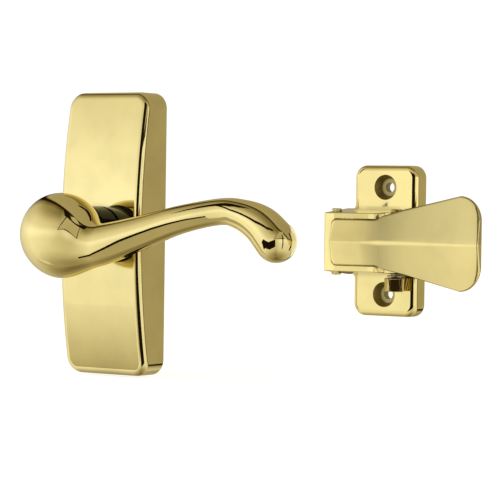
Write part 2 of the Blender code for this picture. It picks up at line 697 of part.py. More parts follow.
def inside_paddle():
    """Pull paddle with a roof-shaped front, knuckles on the pin, the latch nose and two lugs."""
    vertices, faces = [], []
    rows = paddle_sections()
    for x, ridge, half, back, middle in rows:
        fan_share = min(max((x - 142 * MM) / (6 * MM), 0), 1)
        edge = ridge + ROOT_RISE + (FAN_RISE - ROOT_RISE) * fan_share
        section = [(ridge, 0), (edge, half), (back, half), (back, 0), (back, -half), (edge, -half)]
        vertices += [(x, y, middle + z) for y, z in section]
    sides = 6
    for row in range(len(rows) - 1):
        for side in range(sides):
            after = (side + 1) % sides
            low, high = row * sides, (row + 1) * sides
            faces.append((low + side, low + after, high + after, high + side))
    last = (len(rows) - 1) * sides
    for first in (0, last):
        faces += [(first, first + 1, first + 2, first + 3), (first, first + 3, first + 4, first + 5)]
    paddle = add_object("inside_paddle", vertices, faces, BRASS)

    low, high = HOUSING_Z - KNUCKLE_HALF, HOUSING_Z + KNUCKLE_HALF
    neck_left = 122.6 * MM
    join(paddle, cylinder("knuckle", (PIN_X, PIN_Y), "Z", KNUCKLE_RADIUS, low, high, steps=32))
    neck = [
        (neck_left, -18.5 * MM),
        (127.5 * MM, -18.5 * MM),
        (127.5 * MM, -15.0 * MM),
        (121.0 * MM, -11.4 * MM),
        (118.0 * MM, -12.0 * MM),
        (119.5 * MM, -16.6 * MM),
        (neck_left, -16.9 * MM),
    ]
    join(paddle, prism("neck", neck, "Z", low, high))
    nose = [
        (117.0 * MM, -12.6 * MM),
        (110.7 * MM, -8.0 * MM),
        (110.7 * MM, -4.6 * MM),
        (112.4 * MM, -3.2 * MM),
        (117.0 * MM, -3.4 * MM),
        (121.2 * MM, -11.8 * MM),
        (119.5 * MM, -13.5 * MM),
    ]
    join(paddle, prism("nose", nose, "Z", HOUSING_Z - 7.5 * MM, HOUSING_Z + 7.5 * MM))
    join(
        paddle,
        box("heel", (HEEL_X - 0.7 * MM, -18.2 * MM, -0.8 * MM), (HEEL_X + 0.7 * MM, HEEL_TIP, 0.8 * MM)),
        box("heel_rib", (HEEL_X - 2.2 * MM, -18.2 * MM, -0.8 * MM), (HEEL_X, -11.5 * MM, 0.8 * MM)),
        box("lock_lug", (151.0 * MM, -22.0 * MM, -2.0 * MM), (153.0 * MM, -12.4 * MM, 2.0 * MM)),
    )
    lip_back = HOUSING_FRONT - GAP
    relief_back, corner_z, over = -17.2 * MM, 7.2 * MM, 12 * MM
    relief = box("frame_relief", (119 * MM, lip_back, -over), (neck_left, relief_back, over))
    corner_reliefs = [
        box(f"corner_relief{z}", (119 * MM, lip_back, z), (125.2 * MM, relief_back, z + over))
        for z in (HOUSING_Z + corner_z, HOUSING_Z - corner_z - over)
    ]
    room_low, room_high = HOUSING_Z - SPRING_ROOM, HOUSING_Z + SPRING_ROOM
    spring_room = cylinder("spring_room", (PIN_X, PIN_Y), "Z", SPRING_ROOM, room_low, room_high, steps=32)
    leg_room = box("leg_room", (PIN_X, -17.6 * MM, room_low), (129 * MM, -10.3 * MM, room_high))
    pin_bore = cylinder("pin_bore", (PIN_X, PIN_Y), "Z", PIN_RADIUS + GAP, -20 * MM, 20 * MM, steps=24)
    return cut(paddle, relief, *corner_reliefs, spring_room, leg_room, pin_bore)


def headed_profile(radius, head_radius, low, high, head_height):
    """A shaft between two low domed heads, like a rivet, with a dimple in its upper end."""
    dimple = 0.45 * head_radius
    return [
        (0, low - head_height),
        (head_radius * 0.6, low - head_height),
        (head_radius, low - head_height * 0.3),
        (head_radius, low),
        (radius, low),
        (radius, high),
        (head_radius, high),
        (head_radius, high + head_height * 0.3),
        (head_radius * 0.75, high + head_height),
        (dimple, high + head_height),
        (0, high + head_height * 0.3),
    ]


def pivot_pin():
    """The riveted pin that the paddle turns on."""
    reach = housing_half(PIN_Y) + 0.25 * MM
    profile = headed_profile(
        PIN_RADIUS, PIN_HEAD_RADIUS, HOUSING_Z - reach, HOUSING_Z + reach, 0.8 * MM
    )
    return turned("pivot_pin", profile, (PIN_X, PIN_Y), "Z", BRASS, 24)


def paddle_spring():
    """A torsion coil on the pin: one leg behind the paddle's root, one against the base."""
    turns, steps = 4, 10
    bottom, top = HOUSING_Z - 3.2 * MM, HOUSING_Z + 3.2 * MM
    start, sweep = -math.pi / 2, -(2 * math.pi * turns + math.pi)
    count = int(-sweep / (2 * math.pi) * steps)
    coil = []
    for step in range(count + 1):
        share = step / count
        angle = start + sweep * share
        x = PIN_X + PADDLE_SPRING_RADIUS * math.cos(angle)
        y = PIN_Y + PADDLE_SPRING_RADIUS * math.sin(angle)
        coil.append((x, y, bottom + (top - bottom) * share))
    front_leg = (127.5 * MM, PIN_Y - PADDLE_SPRING_RADIUS, bottom)
    rear_leg = (126.0 * MM, -8.5 * MM, top)
    return wire("paddle_spring", [front_leg, *coil, rear_leg], PADDLE_SPRING_WIRE)


def cam_front(angle):
    """The cam's front face: two valleys, to the left and right, and a ramp up from each side."""
    degrees = math.degrees(angle) % 180
    from_valley = min(degrees, 180 - degrees)
    return CAM_VALLEY - CAM_RISE_PER_DEGREE * min(from_valley, CAM_RAMP_DEGREES)


def spindle_hub():
    """A flanged hub with a square hole, whose face cam lifts the paddle's heel."""
    core_front = CAM_VALLEY + 0.3 * MM
    profile = [
        (0, core_front),
        (CAM_INNER_RADIUS, core_front),
        (CAM_INNER_RADIUS, cam_front),
        (CAM_RADIUS, cam_front),
        (CAM_RADIUS, HUB_FLANGE_FRONT),
        (HUB_FLANGE_RADIUS, HUB_FLANGE_FRONT),
        (HUB_FLANGE_RADIUS, HUB_BACK),
        (0, HUB_BACK),
    ]
    hub = turned("spindle_hub", profile, (BASE_X, 0), "Y", STEEL, 60)
    half = HUB_SQUARE / 2
    square = box("hub_square", (BASE_X - half, -12 * MM, -half), (BASE_X + half, 2 * MM, half))
    return cut(hub, square)


def hub_retainer():
    """A steel plate let into the base's back, which holds the hub in."""
    outline = right_half(24 * MM, 32 * MM, 2 * MM, 4, 1)
    outline += [(-x, z) for x, z in reversed(outline)]
    outline = [(BASE_X + x, z) for x, z in outline]
    plate = prism("hub_retainer", outline, "Y", -2.2 * MM, -1.2 * MM, STEEL)
    cut(plate, cylinder("retainer_hole", (BASE_X, 0), "Y", 5.6 * MM, -5 * MM, 2 * MM, steps=32))
    for side in (-1, 1):
        centre = BASE_X, side * 13.5 * MM
        cut(plate, cylinder(f"retainer_screw_hole{side}", centre, "Y", 1.4 * MM, -5 * MM, 2 * MM, steps=20))
    return plate


def retainer_screws():
    for name, side in (("retainer_screw_upper", 1), ("retainer_screw_lower", -1)):
        centre = BASE_X, side * 13.5 * MM
        pan_screw(name, centre, 2.2 * MM, -1.0 * MM, -0.1 * MM, 1.0 * MM, -6.4 * MM)


def lock_knob():
    """A thumb knob, its upright shaft with a peened top end, and the lock cam."""
    plan = list(KNOB_PLAN)
    for index in range(KNURLS):
        plan.append((KNURL_START + KNURL_STEP * index, KNURL_HIGH if index % 2 else KNURL_LOW))
    levels, count = 5, len(plan)
    vertices, faces = [], []
    for level in range(levels):
        share = level / (levels - 1)
        for degrees, radius in plan:
            angle = math.radians(degrees) + KNOB_TWIST * (0.5 - share)
            x, y = LOCK_X + radius * MM * math.sin(angle), LOCK_Y - radius * MM * math.cos(angle)
            vertices.append((x, y, KNOB_BOTTOM + (KNOB_TOP - KNOB_BOTTOM) * share))
    for level in range(levels - 1):
        for i in range(count):
            j = (i + 1) % count
            a, b = level * count, (level + 1) * count
            faces.append((a + i, a + j, b + j, b + i))
    faces += [tuple(range(count)), tuple(range((levels - 1) * count, levels * count))]
    knob = add_object("lock_knob", vertices, faces, BRASS)
    reach = HOUSING_Z + housing_half(LOCK_Y) + 0.25 * MM
    profile = headed_profile(LOCK_SHAFT_RADIUS, 2.5 * MM, -16 * MM, reach, 0.8 * MM)
    profile = [(0, -17 * MM), (LOCK_SHAFT_RADIUS, -17 * MM), *profile[5:]]
    join(knob, turned("lock_shaft", profile, (LOCK_X, LOCK_Y), "Z", steps=24))
    cam = cylinder(
        "lock_cam", (LOCK_X - 1.0 * MM, LOCK_Y), "Z", LOCK_CAM_RADIUS - 1 * MM, -2 * MM, 2 * MM, steps=24
    )
    return join(knob, cam)


def lock_spring_washer():
    """A thin ring under the housing that keeps the knob where it is put."""
    centre = LOCK_X, LOCK_Y
    inner, outer = LOCK_SHAFT_RADIUS + GAP, 3.4 * MM
    top = HOUSING_Z - housing_half(LOCK_Y + outer) - 0.2 * MM
    return tube("lock_spring_washer", centre, "Z", inner, outer, top - 0.6 * MM, top, SPRING_STEEL, 24)


clear_scene()
outside_escutcheon()
lever_handle()
neck_sleeve()
spindle()
spindle_set_screw()
lever_bushing()
spring_driver()
retaining_ring()
lever_return_spring()
spring_cover()
cover_screws()
mounting_posts()
inside_base()
inside_paddle()
pivot_pin()
paddle_spring()
spindle_hub()
hub_retainer()
retainer_screws()
lock_knob()
lock_spring_washer()
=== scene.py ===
"""Looks for a storm-door lever latch set in polished brass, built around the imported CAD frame.

The visible castings are rebuilt here as fine meshes over their CAD nodes: the lever as one smooth
blended surface, the escutcheon, the base and the pull paddle with rounded edges. The inner steel
pieces keep their CAD shapes, with their edges softened.
"""

import json
import math

import bmesh
import bpy
import numpy as np
from mathutils import Matrix, Vector

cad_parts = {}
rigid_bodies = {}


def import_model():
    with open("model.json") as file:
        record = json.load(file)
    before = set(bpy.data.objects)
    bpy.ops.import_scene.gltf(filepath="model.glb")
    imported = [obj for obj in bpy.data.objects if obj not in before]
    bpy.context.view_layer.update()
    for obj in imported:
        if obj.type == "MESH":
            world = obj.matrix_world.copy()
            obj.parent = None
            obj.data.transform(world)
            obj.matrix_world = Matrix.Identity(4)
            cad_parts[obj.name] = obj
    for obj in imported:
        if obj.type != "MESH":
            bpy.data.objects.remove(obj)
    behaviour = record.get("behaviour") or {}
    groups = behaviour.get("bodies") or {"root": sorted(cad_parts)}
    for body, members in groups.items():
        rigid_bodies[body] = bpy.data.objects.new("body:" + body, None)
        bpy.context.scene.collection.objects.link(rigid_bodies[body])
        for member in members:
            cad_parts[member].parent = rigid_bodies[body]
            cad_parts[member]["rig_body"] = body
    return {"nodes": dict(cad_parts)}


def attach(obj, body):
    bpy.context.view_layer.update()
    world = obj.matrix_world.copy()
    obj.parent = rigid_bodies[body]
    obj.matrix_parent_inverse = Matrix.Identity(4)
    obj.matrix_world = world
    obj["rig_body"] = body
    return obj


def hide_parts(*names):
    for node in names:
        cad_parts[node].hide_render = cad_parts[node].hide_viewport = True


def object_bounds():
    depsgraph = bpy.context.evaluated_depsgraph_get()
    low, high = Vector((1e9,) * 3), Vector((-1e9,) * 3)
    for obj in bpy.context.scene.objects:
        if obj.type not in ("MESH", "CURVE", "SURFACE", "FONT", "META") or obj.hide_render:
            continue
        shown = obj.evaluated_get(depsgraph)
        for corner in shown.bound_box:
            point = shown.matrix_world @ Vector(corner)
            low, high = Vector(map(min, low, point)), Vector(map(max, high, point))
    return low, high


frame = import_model()
cad_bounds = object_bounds()

MM = 0.001
GAP = 0.3 * MM
SCREW_SPACING = 44.45 * MM

# The same driving sizes as the CAD
PLATE_WIDTH, PLATE_HEIGHT = 44.0 * MM, 125.6 * MM
PLATE_MIDDLE_DEPTH, PLATE_END_DEPTH = 20.2 * MM, 13.4 * MM
PLATE_CORNER, PLATE_FILLET, PLATE_WALL = 7.0 * MM, 3.2 * MM, 2.2 * MM
COVER_BOSS_X = 15.8 * MM
BALL_RADIUS, BALL_Y = 17.95 * MM, -46.8 * MM
SLEEVE_RADIUS, SLEEVE_BACK, SLEEVE_FLARE = 12.3 * MM, -20.7 * MM, 14.0 * MM
SHANK_RADIUS, SHANK_BACK = 8.0 * MM, -1.6 * MM
SPINDLE_SIDE, SPINDLE_FRONT = 6.35 * MM, -30.0 * MM
SET_SCREW_Y, SET_SCREW_RADIUS = -26.5 * MM, 2.0 * MM
RING_BACK, RING_THICKNESS, RING_GROOVE_RADIUS = -12.8 * MM, 1.0 * MM, 7.0 * MM
BASE_X, BASE_WIDTH, BASE_HEIGHT = 138.3 * MM, 30.0 * MM, 62.6 * MM
BASE_DEPTH, BASE_CORNER, BASE_FILLET = 7.7 * MM, 5.2 * MM, 2.5 * MM
HOUSING_Z, HOUSING_LEFT, HOUSING_FRONT = -0.6 * MM, 117.0 * MM, -21.0 * MM
HOUSING_HALF, HOUSING_DRAFT = 12.1 * MM, 0.095
POCKET_HALF, POCKET_LEFT, POCKET_CORNER = 9.8 * MM, 120.4 * MM, 2.5 * MM
FRAME_BACK, RECESS_FLOOR = -18.6 * MM, -2.4 * MM
RIM_RADIUS, SEAT_RADIUS, SEAT_Y, HOLE_RADIUS = 5.2 * MM, 3.6 * MM, -3.8 * MM, 2.1 * MM
PIN_X, PIN_Y, PIN_RADIUS, PIN_HEAD_RADIUS = 118.9 * MM, -14.0 * MM, 1.7 * MM, 2.2 * MM
HEAD_HEIGHT = 0.8 * MM
KNUCKLE_RADIUS, KNUCKLE_HALF, SPRING_ROOM = 3.2 * MM, 9.65 * MM, 4.2 * MM
ROOT_RISE, FAN_RISE = 1.6 * MM, 2.2 * MM
FAN_END, FAN_CORNER, FAN_HALF, ROOT_CORNER = 192.4 * MM, 10.0 * MM, 19.05 * MM, 2.3 * MM
FAN_RISE_START, FAN_RISE_LENGTH = 142 * MM, 6 * MM
HUB_FLANGE_RADIUS, HUB_FLANGE_FRONT, CAM_RADIUS = 10.0 * MM, -4.4 * MM, 8.4 * MM
HEEL_X, HEEL_TIP = 131.1 * MM, -6.2 * MM
LOCK_X, LOCK_Y, LOCK_SHAFT_RADIUS = 147.0 * MM, -13.5 * MM, 1.9 * MM
KNOB_TOP, KNOB_BOTTOM, KNOB_TWIST = -14.9 * MM, -20.6 * MM, math.radians(18)
KNURL_START, KNURL_STEP, KNURLS, KNURL_LOW, KNURL_HIGH = 67, 7, 17, 3.25, 3.6

# The knob's plan, as degrees from the front towards the right and millimetres from the shaft
KNOB_PLAN = (
    (-172, 3.5), (-120, 3.8), (-95, 4.3), (-75, 4.55), (-50, 4.55), (-28, 4.2), (-14, 3.85),
    (-9, 3.3), (-4, 3.75), (22, 3.9), (47, 3.9), (53, 3.25), (60, 3.6),
)
# Centre line of the arm, as x, y, z and the arm's radius there, in millimetres
ARM_STATIONS = (
    (1.5, -46.8, -6.4, 10.6),
    (20.8, -46.8, -4.1, 9.0),
    (41.7, -46.8, 1.4, 7.2),
    (61.6, -46.0, 7.4, 5.95),
    (80.4, -44.1, 11.1, 5.55),
    (90.0, -43.1, 10.2, 6.3),
    (99.4, -42.3, 6.2, 7.85),
    (106.8, -42.0, -0.7, 8.75),
)
# The paddle's ridge y, half height and back y along x, in millimetres
PADDLE_X = (120.8, 134.0, 142.0, 144.5, 182.4, 192.4)
PADDLE_RIDGE = (-23.6, -23.6, -23.0, -23.1, -27.6, -28.8)
PADDLE_HALF = (9.5, 9.5, 9.5, 10.95, 19.05, 21.2)
PADDLE_BACK = (-17.6, -17.6, -18.6, -19.9, -24.1, -25.3)


# ---- mesh tools


def new_object(name, data):
    made = bpy.data.objects.new(name, data)
    bpy.context.scene.collection.objects.link(made)
    return made


def quarter(steps):
    """The angles of a quarter turn, in even steps."""
    return [math.pi / 2 * step / steps for step in range(steps + 1)]


def metres(*points):
    """Points given in millimetres, in metres."""
    return [tuple(value * MM for value in point) for point in points]


def mesh_object(name, vertices, faces):
    mesh = bpy.data.meshes.new(name)
    shape = bmesh.new()
    corners = [shape.verts.new(vertex) for vertex in vertices]
    for face in faces:
        shape.faces.new([corners[index] for index in face])
    bmesh.ops.recalc_face_normals(shape, faces=shape.faces)
    shape.to_mesh(mesh)
    shape.free()
    return new_object(name, mesh)


def grid_faces(rows, columns):
    """The faces between rows of points, each row as long as the last."""
    corners = [row * columns + column for row in range(rows - 1) for column in range(columns - 1)]
    return [(a, a + 1, a + columns + 1, a + columns) for a in corners]


def ring_faces(rings, count):
    """The faces between closed rings of points, each with the same count."""
    faces = []
    for low in range(0, (rings - 1) * count, count):
        for i in range(count):
            j = (i + 1) % count
            faces.append((low + i, low + j, low + count + j, low + count + i))
    return faces


def apply_modifiers(obj):
    """Turns the object's modifiers, or its curve, into a plain mesh."""
    bpy.context.view_layer.update()
    evaluated = obj.evaluated_get(bpy.context.evaluated_depsgraph_get())
    mesh = bpy.data.meshes.new_from_object(evaluated)
    if obj.type == "MESH":
        obj.modifiers.clear()
        obj.data = mesh
        return obj
    name = obj.name
    bpy.data.objects.remove(obj)
    return new_object(name, mesh)


def combine(target, operation, tools):
    """Joins the tools to the target, or cuts them from it, and removes them."""
    for tool in tools:
        modifier = target.modifiers.new(tool.name, "BOOLEAN")
        modifier.operation = operation
        modifier.object = tool
        modifier.solver = "EXACT"
    apply_modifiers(target)
    for tool in tools:
        bpy.data.objects.remove(tool)
    return target


def join(target, *tools):
    return combine(target, "UNION", tools)


def cut(target, *tools):
    return combine(target, "DIFFERENCE", tools)


def tidy(obj):
    """Merges doubled corners and dissolves the edges inside flat faces."""
    close, flat_angle = 0.004 * MM, math.radians(1.0)
    shape = bmesh.new()
    shape.from_mesh(obj.data)
    bmesh.ops.remove_doubles(shape, verts=shape.verts, dist=close)
    bmesh.ops.dissolve_degenerate(shape, edges=shape.edges, dist=close)
    bmesh.ops.dissolve_limit(shape, angle_limit=flat_angle, verts=shape.verts, edges=shape.edges)
    shape.to_mesh(obj.data)
    shape.free()


def round_edges(obj, width, segments=3, sharp=32):
    modifier = obj.modifiers.new("edges", "BEVEL")
    modifier.width = width
    modifier.segments = segments
    modifier.limit_method = "ANGLE"
    modifier.angle_limit = math.radians(sharp)
    modifier.use_clamp_overlap = True
    return apply_modifiers(obj)


def soften(obj, width, segments=3, sharp=32):
    """Rounds the edges sharper than an angle, and shades the faces between them smooth."""
    if width:
        round_edges(obj, width, segments, sharp)
    obj.data.shade_smooth()
    obj.data.set_sharp_from_angle(angle=math.radians(sharp))
    weighted = obj.modifiers.new("flat faces", "WEIGHTED_NORMAL")
    weighted.mode = "FACE_AREA"
    weighted.weight = 60
    weighted.keep_sharp = True
    return apply_modifiers(obj)


def dress(obj, body, finish, node):
    """Gives the piece its body and its finish, and hides the CAD node that it stands for."""
    obj.data.materials.clear()
    obj.data.materials.append(FINISHES[finish])
    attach(obj, body)
    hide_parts(node)


def drafted_prism(name, outline, axis, low_at, high_at):
    """An outline drawn across the axis, whose two ends follow low_at and high_at."""
    place = {"Y": lambda u, v, w: (u, w, v), "Z": lambda u, v, w: (u, v, w)}[axis]
    count = len(outline)
    vertices = [place(u, v, low_at(u, v)) for u, v in outline]
    vertices += [place(u, v, high_at(u, v)) for u, v in outline]
    sides = [(i, (i + 1) % count, count + (i + 1) % count, count + i) for i in range(count)]
    return mesh_object(name, vertices, sides + [tuple(range(count)), tuple(range(count, 2 * count))])


def prism(name, outline, axis, low, high):
    return drafted_prism(name, outline, axis, lambda u, v: low, lambda u, v: high)


def box(name, low, high):
    outline = [(low[0], low[1]), (high[0], low[1]), (high[0], high[1]), (low[0], high[1])]
    return prism(name, outline, "Z", low[2], high[2])


def turned(name, profile, centre, axis, steps=72):
    """A profile of (radius, position along axis) pairs, turned about the axis through centre."""
    place = {
        "Y": lambda r, h, a: (centre[0] + r * math.cos(a), h, centre[1] + r * math.sin(a)),
        "Z": lambda r, h, a: (centre[0] + r * math.cos(a), centre[1] + r * math.sin(a), h),
    }[axis]
    angles = [2 * math.pi * step / steps for step in range(steps)]
    vertices, rings = [], []
    for radius, height in profile:
        first = len(vertices)
        if radius == 0:
            vertices.append(place(0, height, 0))
            rings.append([first] * steps)
        else:
            vertices += [place(radius, height, angle) for angle in angles]
            rings.append(list(range(first, first + steps)))
    pairs = list(zip(rings, rings[1:]))
    if profile[0][0] > 0:
        pairs.append((rings[-1], rings[0]))
    faces = []
    for ring, following in pairs:
        for step in range(steps):
            after = (step + 1) % steps
            corners = [ring[step], ring[after], following[after], following[step]]
            faces.append(tuple(dict.fromkeys(corners)))
    return mesh_object(name, vertices, faces)


def cylinder(name, centre, axis, radius, low, high, steps=72):
    return turned(name, [(0, low), (radius, low), (radius, high), (0, high)], centre, axis, steps)


def right_half(width, height, corner, corner_steps, side_steps):
    """The right half of a rounded rectangle, from its top middle side down, as (x, z) pairs."""
    centre_x, centre_z = width / 2 - corner, height / 2 - corner
    points = []
    for step in range(corner_steps + 1):
        angle = math.pi / 2 * (1 - step / corner_steps)
        points.append((centre_x + corner * math.cos(angle), centre_z + corner * math.sin(angle)))
    for step in range(1, side_steps):
        points.append((width / 2, centre_z * (1 - 2 * step / side_steps)))
    return points + [(x, -z) for x, z in reversed(points[: corner_steps + 1])]


def cushion(name, centre_x, size, corner, fillet, depth_at, back, side_steps, fillet_steps=10):
    """A rounded plate with a flat back, whose front edge is rounded by fillet."""
    levels = [(0.0, None)]
    for angle in quarter(fillet_steps):
        levels.append((fillet * (1 - math.cos(angle)), fillet * (1 - math.sin(angle))))
    vertices = []
    for inset, drop in levels:
        half = right_half(size[0] - 2 * inset, size[1] - 2 * inset, corner - inset, 14, side_steps)
        ring = half + [(-x, z) for x, z in reversed(half)]
        count = len(ring)
        for x, z in ring:
            y = back if drop is None else drop - depth_at(z)
            vertices.append((centre_x + x, y, z))
    faces = ring_faces(len(levels), count)
    front = (len(levels) - 1) * count
    for first in (0, front):
        for i in range(count // 2 - 1):
            faces.append((first + i, first + i + 1, first + count - 2 - i, first + count - 1 - i))
    return mesh_object(name, vertices, faces)


def catmull_rows(stations, steps):
    """Catmull-Rom interpolation through rows of numbers in millimetres, as rows in metres."""
    rows = np.array(stations, float) * MM
    rows = np.vstack([2 * rows[0] - rows[1], rows, 2 * rows[-1] - rows[-2]])
    found = []
    for i in range(1, len(rows) - 2):
        a, b, c, d = rows[i - 1 : i + 3]
        for step in range(steps):
            t = step / steps
            curve = (2 * a - 5 * b + 4 * c - d) * t**2 + (3 * b - a - 3 * c + d) * t**3
            found.append(0.5 * (2 * b + (c - a) * t + curve))
    found.append(rows[-2])
    return np.array(found)


# ---- materials


class Nodes:
    """A short way to add and link shader nodes."""

    def __init__(self, tree):
        self.tree = tree

    def link(self, source, target):
        self.tree.links.new(source, target)

    def feed(self, socket, value):
        """Links another node's output to the socket, or sets the socket's own constant."""
        if isinstance(value, bpy.types.NodeSocket):
            self.link(value, socket)
        else:
            socket.default_value = value

    def add(self, kind, inputs=None, **settings):
        node = self.tree.nodes.new("ShaderNode" + kind)
        for key, value in settings.items():
            setattr(node, key, value)
        for key, value in (inputs or {}).items():
            self.feed(node.inputs[key], value)
        return node

    def math(self, operation, *values):
        node = self.add("Math", operation=operation)
        for socket, value in zip(node.inputs, values):
            self.feed(socket, value)
        return node.outputs[0]

    def ramp(self, factor, stops, colours=False):
        node = self.add("ValToRGB", {"Fac": factor})
        elements = node.color_ramp.elements
        while len(elements) < len(stops):
            elements.new(0.5)
        for element, (position, value) in zip(elements, stops):
            element.position = position
            element.color = value if colours else (value, value, value, 1)
        return node.outputs["Color"]

    def spread(self, factor, low, high):
        node = self.add("MapRange", {"Value": factor, "To Min": low, "To Max": high})
        return node.outputs["Result"]

    def noise(self, where, scale, detail=3.0, rough=0.5):
        settings = {"Vector": where, "Scale": scale, "Detail": detail, "Roughness": rough}
        return self.add("TexNoise", settings).outputs["Fac"]


def fresh_material(name):
    material = bpy.data.materials.new(name)
    material.use_nodes = True
    return material, Nodes(material.node_tree), material.node_tree.nodes["Principled BSDF"]


def scaled(colour, share):
    return (*[min(1.0, value * share) for value in colour], 1)


def metal(colour, roughness, grain=0.25, stain=0.10, wave=0.04):
    """A metal with cloudy polish marks, hairlines, dulled recesses and a slightly uneven surface."""
    material, nodes, shader = fresh_material("metal")
    where = nodes.add("TexCoord").outputs["Object"]
    cloud = nodes.noise(where, 55, 4)
    smear = nodes.noise(where, 260, 5, 0.65)
    stretched = nodes.add("Mapping", {"Vector": where, "Scale": (0.22, 1.0, 1.0)})
    hairline = nodes.noise(stretched.outputs[0], 2600, 2)
    recess = nodes.add("AmbientOcclusion", {"Distance": 2.5 * MM}, samples=16)
    dull = nodes.math("SUBTRACT", 1.0, recess.outputs["AO"])
    stops = [(0.3, 1 - stain), (0.55, 1.0), (0.75, 1 + stain / 3)]
    tone = nodes.ramp(cloud, [(at, scaled(colour, share)) for at, share in stops], colours=True)
    dirt = (colour[0] * 0.40, colour[1] * 0.44, colour[2] * 0.70, 1)
    tarnish = nodes.add("Mix", data_type="RGBA")
    nodes.link(nodes.math("MULTIPLY", dull, 0.8), tarnish.inputs["Factor"])
    nodes.link(tone, tarnish.inputs[6])
    tarnish.inputs[7].default_value = dirt
    nodes.link(tarnish.outputs[2], shader.inputs["Base Color"])
    polish = nodes.spread(smear, roughness * 0.7, roughness * 1.35)
    worn = nodes.math("ADD", polish, nodes.math("MULTIPLY", dull, 0.30))
    nodes.link(worn, shader.inputs["Roughness"])
    waves = nodes.add("Bump", {"Height": cloud, "Strength": wave, "Distance": 0.4 * MM})
    scratches = {"Height": hairline, "Strength": grain, "Distance": 0.004 * MM}
    lines = nodes.add("Bump", {**scratches, "Normal": waves.outputs[0]})
    nodes.link(lines.outputs[0], shader.inputs["Normal"])
    shader.inputs["Metallic"].default_value = 1.0
    return material


def shade(material, tone, least_roughness=None):
    """Multiplies the colour of a finished metal by a tone, and keeps it at least this rough."""
    nodes = Nodes(material.node_tree)
    inputs = material.node_tree.nodes["Principled BSDF"].inputs
    colour, roughness = (inputs[name].links[0].from_socket for name in ("Base Color", "Roughness"))
    shaded = nodes.add("VectorMath", {"Vector": colour, "Scale": tone}, operation="SCALE")
    nodes.link(shaded.outputs[0], inputs["Base Color"])
    if least_roughness is not None:
        rougher = nodes.math("MAXIMUM", roughness, least_roughness)
        nodes.link(rougher, inputs["Roughness"])
    return material


def position(nodes):
    """The x and z of the shaded point."""
    where = nodes.add("TexCoord").outputs["Object"]
    parts = nodes.add("SeparateXYZ", {"Vector": where}).outputs
    return parts["X"], parts["Z"]


def paint_paddle_shade_and_ridge_highlight(material):
    """Paints shade into the paddle's colour, darkest at its bend and on its upper half, and paints a
    highlight along its ridge.
    """
    nodes = Nodes(material.node_tree)
    start, length, ridge_width = 118 * MM, 88 * MM, 1.6 * MM
    x, z = position(nodes)
    along = nodes.math("DIVIDE", nodes.math("SUBTRACT", x, start), length)
    places = (0, 0.19, 0.29, 0.37, 0.45, 0.72, 0.93)
    # Painted shade: the upper half darker than the lower, both darkest at the bend
    upper = nodes.ramp(along, list(zip(places, (0.98, 0.93, 0.55, 0.60, 0.66, 0.75, 0.88))))
    lower = nodes.ramp(along, list(zip(places, (1.03, 0.97, 0.58, 0.74, 0.83, 0.95, 1.04))))
    height = nodes.math("SUBTRACT", z, HOUSING_Z)
    above = nodes.math("ADD", nodes.math("DIVIDE", height, ridge_width), 0.5)
    above = nodes.ramp(above, [(0, 0), (1, 1)])
    difference = nodes.math("MULTIPLY", nodes.math("SUBTRACT", upper, lower), above)
    distance = nodes.math("DIVIDE", nodes.math("ABSOLUTE", height), ridge_width)
    # Painted highlight along the ridge
    ridge = nodes.ramp(distance, [(0.2, 1.06), (0.9, 0.5)])
    return shade(material, nodes.math("MAXIMUM", nodes.math("ADD", lower, difference), ridge))


def darken_seats_with_painted_shade(material):
    """Paints shade into the two recessed screw seats, darker than the polished face, and makes them
    rougher.
    """
    nodes = Nodes(material.node_tree)
    seat_shade_and_roughness = 0.42
    x, z = position(nodes)
    across = nodes.math("SUBTRACT", x, BASE_X)
    up = nodes.math("SUBTRACT", nodes.math("ABSOLUTE", z), SCREW_SPACING / 2)
    squares = nodes.math("ADD", nodes.math("MULTIPLY", across, across), nodes.math("MULTIPLY", up, up))
    inside = nodes.math("LESS_THAN", nodes.math("SQRT", squares), RIM_RADIUS + 0.02 * MM)
    # One amount both paints the seats' shade and sets their least roughness
    rough = nodes.math("MULTIPLY", inside, seat_shade_and_roughness)
    return shade(material, nodes.math("SUBTRACT", 1.0, rough), rough)


def plastic(colour, roughness, shine=0.5):
    """A moulded plastic with a fine matt texture and a little unevenness in colour."""
    material, nodes, shader = fresh_material("plastic")
    where = nodes.add("TexCoord").outputs["Object"]
    cloud = nodes.noise(where, 120, 4)
    grain = nodes.noise(where, 4200, 2)
    stops = [(0.3, scaled(colour, 0.92)), (0.7, scaled(colour, 1.04))]
    nodes.link(nodes.ramp(cloud, stops, colours=True), shader.inputs["Base Color"])
    nodes.link(nodes.spread(cloud, roughness * 0.85, roughness * 1.2), shader.inputs["Roughness"])
    shader.inputs["Specular IOR Level"].default_value = shine
    bump = nodes.add("Bump", {"Height": grain, "Strength": 0.3, "Distance": 0.01 * MM})
    nodes.link(bump.outputs[0], shader.inputs["Normal"])
    return material


